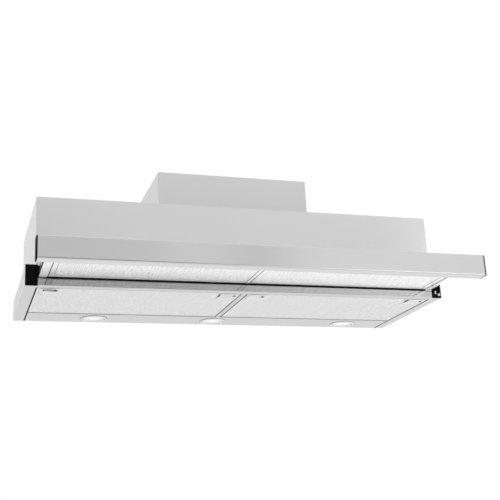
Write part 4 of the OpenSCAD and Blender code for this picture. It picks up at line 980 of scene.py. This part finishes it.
class HOOD_OT_lamps(HoodOperator, bpy.types.Operator):
    """Painted lamp bodies with dark rings and dark dots as painted shade at their rims, and dished lenses
    with a painted highlight
    """

    bl_idname = "hood.lamps"
    bl_label = "Lamps"

    def build(self):
        c = colours()
        paint = satin_sheet("lamp_paint", c.lamp, metallic=0.1, roughness=0.3)
        glass = frosted_lens("lamp_lens", c.lens)
        # Dark rubber for the rings: painted shade round the rims
        rubber = soft_rubber("lamp_shade_ring", c.shade_ring)
        # Near-black plastic for the dots: painted shade of the rim's holes
        pin = moulded_plastic("lamp_rim_shade", c.pin, roughness=0.4)
        for place in ("left", "centre", "right"):
            dress(paint, f"lamp_{place}_body")
            self.lens(place, glass)
            self.low, self.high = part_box(f"lamp_{place}_body")
            piece(f"lamp_{place}_gasket", "hood", rubber, self.shade_ring, SHARP_TURNED)
            piece(f"lamp_{place}_pins", "hood", pin, self.rim_shade_dots)

    def shade_ring(self, bm):
        """A thin dark ring that stands out a little round the lamp's rim: painted shade at the rim's edge.
        """
        r = (self.high.x - self.low.x) / 2
        seat = self.low.z + RING_SEAT
        outline = [(r + out, seat + up) for out, up in RING_OUTLINE]
        middle = (self.low + self.high) / 2
        turned(bm, outline, Matrix.Translation((middle.x, middle.y, 0.0)), LAMP_ROUND)

    def rim_shade_dots(self, bm):
        """Two small dark dots, turned like pins, in the rim left and right of the lens: painted shade of the
        rim's holes.
        """
        middle = (self.low + self.high) / 2
        for side in (-1, 1):
            place = Vector((middle.x + side * PIN_OFF, middle.y, self.low.z))
            turned(bm, PIN_OUTLINE, Matrix.Translation(place), SMALL_ROUND)

    def lens(self, place, finish):
        """A lens with a rolled rim and a dished face with fine rings, in place of the plain one."""
        node = f"lamp_{place}_lens"
        low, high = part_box(node)
        centre = (low + high) / 2
        r, deep = (high.x - low.x) / 2, high.z - low.z
        outline = [(0.0, deep), (r, deep)] + [(r - within, up) for within, up in RIM_OUTLINE]
        for i in range(DISH_RINGS, -1, -1):
            q = i / DISH_RINGS
            up = DISH_LOW + DISH_DEPTH * (1 - q * q) + DISH_WAVE * (i % 2)
            outline.append(((r - DISH_IN) * q, up))
        axis = Matrix.Translation((centre.x, centre.y, low.z))

        def shape(bm):
            turned(bm, outline, axis, LAMP_ROUND)

        lens = piece(f"lamp_{place}_glass", body_of(node), finish, shape, SHARP_TURNED)
        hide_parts(node)


# ---- Controls ----


# The printed marks' inner and outer side, from the plate's face
INK = (-0.00005, 0.00004)
INK_ROUND = 20
# The dots: how many, right of the knobs' middle, the lowest one above the plate's foot, and apart
DOTS = 4
DOTS_RIGHT = 0.0042
DOTS_LOW = 0.0069
DOTS_APART = 0.006
# The two signs: above the plate's foot, and the lamp's sign left of the fan's
SIGNS_UP = 0.0345
LAMP_SIGN_LEFT = 0.0083


def printed(bm, place, r):
    """A printed disc on the hood's front, at a place matrix."""
    turned(bm, [(0.0, INK[0]), (r, INK[0]), (r, INK[1]), (0.0, INK[1])], place, INK_ROUND)


class HOOD_OT_controls(HoodOperator, bpy.types.Operator):
    """Black end plates, silver knobs and the marks beside them"""

    bl_idname = "hood.controls"
    bl_label = "Controls"

    def build(self):
        c, edge = colours(), sizes().edge
        black = moulded_plastic("plate_black", c.black, roughness=0.55, gloss=0.06)
        softened("moulded", black, edge, "left_end_plate", "right_control_plate")
        softened("moulded", gloss_plastic("knob_silver", c.silver), edge, "speed_slider", "lamp_switch")
        piece("control_marks", "hood", plain_ink("mark_ink", c.ink), self.marks)

    def marks(self, bm):
        """A row of dots beside the knobs, with the fan's sign and the lamp's sign above."""
        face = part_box("right_control_plate")[0]
        knob_low, knob_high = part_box("speed_slider")
        x = (knob_low.x + knob_high.x) / 2
        for i in range(DOTS):
            place = Matrix.Translation((x + DOTS_RIGHT, face.y, face.z + DOTS_LOW + DOTS_APART * i))
            printed(bm, place @ FACING_FRONT, sizes().dot)
        self.fan_sign(bm, Vector((x, face.y, face.z + SIGNS_UP)))
        self.lamp_sign(bm, Vector((x - LAMP_SIGN_LEFT, face.y, face.z + SIGNS_UP)))

    def fan_sign(self, bm, at):
        """Three blades."""
        off, blade_r, slim = 0.0013, 0.0011, Matrix.Diagonal((1.0, 0.55, 1.0, 1.0))
        for k in range(3):
            a = 2 * math.pi * k / 3 + 0.5
            tip = Matrix.Translation(at + off * Vector((math.cos(a), 0.0, math.sin(a))))
            printed(bm, tip @ FACING_FRONT @ Matrix.Rotation(a, 4, "Z") @ slim, blade_r)

    def lamp_sign(self, bm, at):
        """A bulb with five rays."""
        off, bulb_r, half_ray = 0.0019, 0.001, 0.00022
        printed(bm, Matrix.Translation(at) @ FACING_FRONT, bulb_r)
        for k in range(5):
            a = math.pi * k / 4
            c = at + off * Vector((math.cos(a), 0.0, math.sin(a)))
            bar(bm, c - Vector((half_ray, INK[1], half_ray)), c + Vector((half_ray, -INK[0], half_ray)))


# ---- Slides ----


# The worn track on a middle member: short of the ends, half its height, and standing out
RACE_ENDS = 0.006
RACE_HALF = 0.0011
RACE_T = 0.00008
# The rivets' places along the member, as shares of its length
RIVET_PLACES = (0.06, 0.3, 0.54, 0.78)
# Outline of a rivet's head: share of its radius, and height from the member's face
RIVET_OUTLINE = ((0.0, 0.00027), (0.6, 0.00025), (0.9, 0.00018), (1.0, 0.00008), (1.0, 0.0), (0.0, 0.0))


class HOOD_OT_slides(HoodOperator, bpy.types.Operator):
    """Black coat on the telescopic slides, a bright track and rivets on their middle members"""

    bl_idname = "hood.slides"
    bl_label = "Slides"

    def build(self):
        zinc = zinc_plate("slide_zinc", colours().zinc)
        coat = moulded_plastic(
            "slide_coat", colours().slide, roughness=0.35, grain=900.0, depth=0.00001, gloss=0.2
        )
        for side, sign in (("left", -1), ("right", 1)):
            self.side = sign
            dress(coat, f"{side}_outer_slide", f"{side}_middle_slide", f"{side}_inner_slide")
            self.low, self.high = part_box(f"{side}_middle_slide")
            piece(f"{side}_slide_race", f"{side}_middle", zinc, self.race)
            piece(f"{side}_slide_rivets", f"{side}_middle", zinc, self.rivets, SHARP_TURNED)

    def outer_face(self):
        """The x of the member's outer face and the z of its middle."""
        return self.low.x if self.side < 0 else self.high.x, (self.low.z + self.high.z) / 2

    def race(self, bm):
        """The bright track that the balls have worn along the outer face of the middle member."""
        face, z = self.outer_face()
        x0, x1 = sorted((face, face + self.side * RACE_T))
        low = (x0, self.low.y + RACE_ENDS, z - RACE_HALF)
        bar(bm, low, (x1, self.high.y - RACE_ENDS, z + RACE_HALF))

    def rivets(self, bm):
        """Flat rivet heads along the same face."""
        face, z = self.outer_face()
        turn = Matrix.Rotation(self.side * math.pi / 2, 4, "Y")
        outline = [(part * sizes().rivet, up) for part, up in RIVET_OUTLINE]
        for along in RIVET_PLACES:
            y = self.low.y + along * (self.high.y - self.low.y)
            turned(bm, outline, Matrix.Translation((face, y, z)) @ turn, SMALL_ROUND)


# ---- Fan, duct outlet and electrics ----


class HOOD_OT_fan(HoodOperator, bpy.types.Operator):
    """Dark plastic scroll and impeller, motor and bracket"""

    bl_idname = "hood.fan"
    bl_label = "Fan"

    def build(self):
        c = colours()
        dark = moulded_plastic("fan_plastic", c.scroll, roughness=0.5, grain=1400.0)
        dress(dark, "fan_volute", "volute_cover", "outlet_transition")
        dress(moulded_plastic("impeller_plastic", c.impeller, roughness=0.42), "impeller")
        dress(satin_sheet("motor_shell", c.motor, metallic=0.8, roughness=0.36), "motor")
        dress(zinc_plate("bracket_zinc", c.zinc), "motor_bracket")


class HOOD_OT_outlet(HoodOperator, bpy.types.Operator):
    """Black collar with its two flaps on a plated pin"""

    bl_idname = "hood.outlet"
    bl_label = "Duct outlet"

    def build(self):
        c = colours()
        dress(moulded_plastic("collar_plastic", c.collar, grain=1600.0), "outlet_collar")
        flap = moulded_plastic("flap_plastic", c.flap, roughness=0.5, grain=1600.0)
        dress(flap, "front_flap", "rear_flap")
        dress(zinc_plate("pin_zinc", c.zinc, roughness=0.25), "flap_pin")


class HOOD_OT_electrics(HoodOperator, bpy.types.Operator):
    """Electronics box and what it holds, gland and microswitch"""

    bl_idname = "hood.electrics"
    bl_label = "Electrics"

    def build(self):
        c = colours()
        box = moulded_plastic("box_plastic", c.electronics, roughness=0.5, grain=1200.0)
        dress(box, "electronics_box")
        dress(circuit_green("circuit_green", c.board), "circuit_board")
        dress(gloss_plastic("terminal_plastic", c.terminal), "terminal_block")
        dress(moulded_plastic("gland_plastic", c.flap, roughness=0.38), "cable_gland")
        dress(moulded_plastic("switch_plastic", c.flap, roughness=0.4), "microswitch")
        dress(gloss_plastic("plunger_plastic", c.plunger), "switch_plunger")


# ---- Screws ----


SCREW_HEAD = 0.0022
SCREW_ROUND = 48
# The shank: its radius, the thread's root and the foot as shares of it, and the thread's pitch
SHANK_R = 0.00205
ROOT = 0.82
FOOT = 0.75
PITCH = 0.0008
# The thread starts this far above the foot, ends this far short of the head, and rises to its crest
THREAD_START = 0.0004
THREAD_SHORT = 0.0005
THREAD_RISE = 0.0003
# Outline of a head, from its underside up: share of its radius, and of its height below its top
HEAD_OUTLINE = ((1.0, 1.0), (1.0, 0.5), (0.93, 0.24), (0.78, 0.07), (0.66, 0.0))
# The cross: how far it reaches, and half the width of a wing, as shares of the head's radius
CROSS_ARM = 0.5
CROSS_HALF = 0.13
# Its outline at the head's top, and lower down: share of its reach, and share of its depth
CROSS_LEVELS = ((1.0, 0.0), (0.72, 0.75))


class HOOD_OT_screws(HoodOperator, bpy.types.Operator):
    """Pan-head screws with a cross recess in place of the plain ones"""

    bl_idname = "hood.screws"
    bl_label = "Screws"

    def build(self):
        zinc = zinc_plate("screw_zinc", colours().zinc, roughness=0.28)
        upright = Matrix.Identity(4)
        facing_back = Matrix.Rotation(-math.pi / 2, 4, "X")
        for node, turn in (("casing_screws", upright), ("panel_screws", facing_back)):
            boxes = islands(node)

            def shape(bm, boxes=boxes, turn=turn):
                for low, high in boxes:
                    self.screw(bm, low, high, turn)

            screws = piece(f"{node}_cross", body_of(node), zinc, shape, SHARP_BEVELLED)
            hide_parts(node)

    def screw(self, bm, low, high, turn):
        """One screw in a box, its head at the box's end along the turned Z."""
        spans = turn.to_3x3().inverted() @ (high - low)
        length, r = abs(spans.z), abs(spans.x) / 2
        axis = Matrix.Translation((low + high) / 2) @ turn @ Matrix.Translation((0.0, 0.0, length / 2))
        angles = [2 * math.pi * i / SCREW_ROUND for i in range(SCREW_ROUND)]

        def loop(reach, z):
            """A ring of vertices at a height, with its reach at each angle."""
            around = zip(angles, reach)
            return [bm.verts.new(axis @ Vector((c * math.cos(a), c * math.sin(a), z))) for a, c in around]

        deep = sizes().recess
        loops = [loop([ring_r] * SCREW_ROUND, z) for ring_r, z in self.rings(length, r)]
        for part, down in CROSS_LEVELS:
            loops.append(loop([part * self.cross(a, r) for a in angles], -deep * down))
        steps = [(i, (i + 1) % SCREW_ROUND) for i in range(SCREW_ROUND)]
        for a, b in zip(loops, loops[1:]):
            for i, j in steps:
                bm.faces.new((a[i], a[j], b[j], b[i]))
        tip = bm.verts.new(axis @ Vector((0.0, 0.0, -deep)))
        foot = bm.verts.new(axis @ Vector((0.0, 0.0, -length)))
        for i, j in steps:
            bm.faces.new((loops[-1][i], loops[-1][j], tip))
            bm.faces.new((loops[0][j], loops[0][i], foot))

    def rings(self, length, r):
        """The radius and height of each ring of a screw: foot, thread, shank and head."""
        thread = length - SCREW_HEAD
        rings = [(FOOT * SHANK_R, -length)]
        turns = int(thread / PITCH)
        for i in range(turns):
            z = -length + THREAD_START + i * (thread - THREAD_SHORT) / turns
            rings += [(ROOT * SHANK_R, z), (SHANK_R, z + THREAD_RISE)]
        rings.append((SHANK_R, -SCREW_HEAD))
        return rings + [(part * r, -SCREW_HEAD * down) for part, down in HEAD_OUTLINE]

    def cross(self, angle, r):
        """How far the cross recess reaches from the middle at an angle."""
        arm, half = CROSS_ARM * r, CROSS_HALF * r
        c, s = abs(math.cos(angle)), abs(math.sin(angle))
        big, small = max(c, s), min(c, s)
        if half * big > arm * small:
            return arm / big
        return half / small


# ---- Studio ----


# Brightness of the sky by the angle round the hood, in degrees from straight in front to the right
SKY_ROUND = (
    (-180.0, 1.10), (-120.0, 0.98), (-60.0, 0.80), (4.0, 0.79), (10.0, 0.80),
    (12.5, 0.84), (14.7, 0.95), (16.5, 0.90), (18.9, 0.72), (20.3, 0.95),
    (22.5, 1.00), (30.0, 1.00), (38.0, 0.90), (60.0, 0.80), (180.0, 1.10),
)
# The same below the horizon, where the left side in front stays dark
SKY_LOW = (
    (-180.0, 1.00), (-120.0, 1.00), (-60.0, 0.04), (5.0, 0.04), (14.0, 0.20), (19.0, 0.60), (24.0, 1.40),
    (28.0, 1.95), (50.0, 1.60), (90.0, 1.00), (180.0, 1.00),
)
# By the height above the horizon
SKY_HEIGHT = ((-10.0, 1.00), (35.0, 1.00), (55.0, 1.20), (90.0, 1.20))
# Share of the upper curve, by the height
SKY_TURN = ((-6.0, 0.0), (0.0, 1.0))
# Where the hood is seen from: place, turn to the right, upwards and over in degrees, and lens in mm
CAMERA_PLACE = (-0.5958, -2.1726, -0.5402)
CAMERA_TURN = (18.03, 16.72, -2.81)
CAMERA_LENS = 70.253
# The two lights: place, what they aim at, and width
KEY_LIGHT = ((-0.03, -1.15, 0.8), (-0.03, -0.25, 0.12), 0.5)
LOW_LIGHT = ((0.7, -1.2, -0.7), (0.25, -0.4, -0.03), 0.6)


class Sky(Nodes):
    """Soft light that changes with its direction; the camera sees it as plain white."""

    def __init__(self, world):
        super().__init__(world)
        self.tree.nodes.clear()
        out = self.add("ShaderNodeOutputWorld")
        lit = self.add("ShaderNodeBackground")
        self.join(self.brightness(), lit.inputs["Color"])
        lit.inputs["Strength"].default_value = studio().sky
        seen = self.add("ShaderNodeBackground")
        seen.inputs["Color"].default_value = (1.0, 1.0, 1.0, 1.0)
        path = self.add("ShaderNodeLightPath")
        mix = self.add("ShaderNodeMixShader")
        self.join(path.outputs["Is Camera Ray"], mix.inputs["Fac"])
        self.join(lit.outputs[0], mix.inputs[1])
        self.join(seen.outputs[0], mix.inputs[2])
        self.join(mix.outputs[0], out.inputs["Surface"])

    def brightness(self):
        """The sky's brightness: one curve round the hood above the horizon, another below it."""
        way = self.add("ShaderNodeTexCoord")
        parts = self.add("ShaderNodeSeparateXYZ")
        self.join(way.outputs["Generated"], parts.inputs[0])
        back = self.math("MULTIPLY", parts.outputs["Y"], -1.0)
        round_angle = self.math("DEGREES", self.math("ARCTAN2", parts.outputs["X"], back))
        height = self.math("DEGREES", self.math("ARCSINE", parts.outputs["Z"]))
        upper = self.curve(round_angle, SKY_ROUND, "EASE")
        lower = self.curve(round_angle, SKY_LOW, "EASE")
        above = self.curve(height, SKY_HEIGHT, "LINEAR")
        turn = self.curve(height, SKY_TURN, "EASE")
        mix = self.add("ShaderNodeMix", data_type="FLOAT")
        for socket, value in (("Factor", turn), ("A", lower), ("B", self.math("MULTIPLY", upper, above))):
            self.join(value, mix.inputs[socket])
        return mix.outputs["Result"]

    def curve(self, value, stops, kind):
        """A value looked up in (angle, brightness) stops; up to twice as bright as plain white."""
        first, last = stops[0][0], stops[-1][0]
        scaled = self.add("ShaderNodeMapRange")
        scaled.inputs["From Min"].default_value = first
        scaled.inputs["From Max"].default_value = last
        self.join(value, scaled.inputs["Value"])
        ramp = self.add("ShaderNodeValToRGB")
        ramp.color_ramp.interpolation = kind
        marks = ramp.color_ramp.elements
        for k, (angle, bright) in enumerate(stops):
            at = (angle - first) / (last - first)
            mark = marks[k] if k < 2 else marks.new(at)
            mark.position = at
            mark.color = (bright / 2, bright / 2, bright / 2, 1.0)
        self.join(scaled.outputs["Result"], ramp.inputs["Fac"])
        return self.math("MULTIPLY", ramp.outputs["Color"], 2.0)


class HOOD_OT_stage(HoodOperator, bpy.types.Operator):
    """Camera, floor and soft light"""

    bl_idname = "hood.stage"
    bl_label = "Studio"

    def build(self):
        self.camera()
        self.floor()
        self.sky()
        self.lights()

    def camera(self):
        """The camera, low in front of the hood's left end."""
        data = bpy.data.cameras.new("camera")
        cam = placed("camera", data)
        yaw, pitch, roll = (math.radians(a) for a in CAMERA_TURN)
        ahead = math.cos(pitch)
        forward = Vector((math.sin(yaw) * ahead, math.cos(yaw) * ahead, math.sin(pitch)))
        level = Vector((math.cos(yaw), -math.sin(yaw), 0.0))
        upright = level.cross(forward)
        right = level * math.cos(roll) + upright * math.sin(roll)
        up = upright * math.cos(roll) - level * math.sin(roll)
        turn = Matrix((right, up, -forward)).transposed().to_4x4()
        cam.matrix_world = Matrix.Translation(CAMERA_PLACE) @ turn
        data.sensor_width = 36.0
        data.sensor_fit = "HORIZONTAL"
        data.lens = CAMERA_LENS
        data.clip_start = 0.05
        data.clip_end = 60.0
        bpy.context.scene.camera = cam

    def floor(self):
        """A near floor that lights the hood, and a far one around it that is only seen."""
        s = studio()
        paint = Finish("floor_paint", s.floor_paint, roughness=0.6)
        paint.mottle(paint.noise((1.5, 1.5, 1.5), detail=2.0), 0.985, 1.01)
        corners = [
            (x * reach, y * reach, s.floor_z)
            for reach in (s.floor_reach, s.floor_far)
            for x, y in ((-1, -1), (1, -1), (1, 1), (-1, 1))
        ]
        around = [(i, i + 4, (i + 1) % 4 + 4, (i + 1) % 4) for i in range(4)]
        for name, faces in (("floor", [(0, 1, 2, 3)]), ("floor_around", around)):
            mesh = bpy.data.meshes.new(name)
            mesh.from_pydata(corners, [], faces)
            floor = placed(name, mesh)
            mesh.materials.append(paint.material)
            floor.visible_diffuse = floor.visible_glossy = floor.visible_shadow = name == "floor"

    def sky(self):
        """Soft light from all round."""
        bpy.context.scene.world = bpy.data.worlds.new("studio")
        Sky(bpy.context.scene.world)

    def lights(self):
        """One light above the front and one low at the right."""
        self.softbox("key_light", *KEY_LIGHT, studio().key)
        self.softbox("low_light", *LOW_LIGHT, studio().low)

    def softbox(self, name, place, aim, width, power):
        """A square light that no surface mirrors."""
        data = bpy.data.lights.new(name, "AREA")
        data.shape = "SQUARE"
        data.size = width
        data.energy = power
        lamp = placed(name, data)
        lamp.visible_glossy = False
        lamp.location = place
        lamp.rotation_mode = "QUATERNION"
        lamp.rotation_quaternion = (Vector(aim) - Vector(place)).to_track_quat("-Z", "Y")


class HOOD_PT_panel(bpy.types.Panel):
    """Every setting, and a button for each group of pieces"""

    bl_idname = "HOOD_PT_panel"
    bl_label = "Pull-out range hood"
    bl_space_type = "VIEW_3D"
    bl_region_type = "UI"
    bl_category = "Range hood"

    def draw(self, context):
        for title, group in (("Colours", colours()), ("Sizes", sizes()), ("Studio", studio())):
            box = self.layout.box()
            box.label(text=title)
            for key in group.bl_rna.properties.keys():
                if key not in ("rna_type", "name"):
                    box.prop(group, key)
        for operator in BUILDERS:
            self.layout.operator(operator.bl_idname)


BUILDERS = (
    HOOD_OT_stage,
    HOOD_OT_casing,
    HOOD_OT_tray,
    HOOD_OT_drawer,
    HOOD_OT_front_panel,
    HOOD_OT_cassettes,
    HOOD_OT_latches,
    HOOD_OT_lamps,
    HOOD_OT_controls,
    HOOD_OT_slides,
    HOOD_OT_fan,
    HOOD_OT_outlet,
    HOOD_OT_electrics,
    HOOD_OT_screws,
)
CLASSES = (HoodColours, HoodSizes, HoodStudio, *BUILDERS, HOOD_PT_panel)


def register():
    for kind in CLASSES:
        bpy.utils.register_class(kind)
    bpy.types.Scene.hood_colours = PointerProperty(type=HoodColours)
    bpy.types.Scene.hood_sizes = PointerProperty(type=HoodSizes)
    bpy.types.Scene.hood_studio = PointerProperty(type=HoodStudio)


def unregister():
    del bpy.types.Scene.hood_studio
    del bpy.types.Scene.hood_sizes
    del bpy.types.Scene.hood_colours
    for kind in reversed(CLASSES):
        bpy.utils.unregister_class(kind)


def main():
    register()
    bpy.context.scene.view_settings.view_transform = "Standard"
    for operator in BUILDERS:
        group, name = operator.bl_idname.split(".")
        getattr(getattr(bpy.ops, group), name)()


if __name__ == "__main__":
    main()
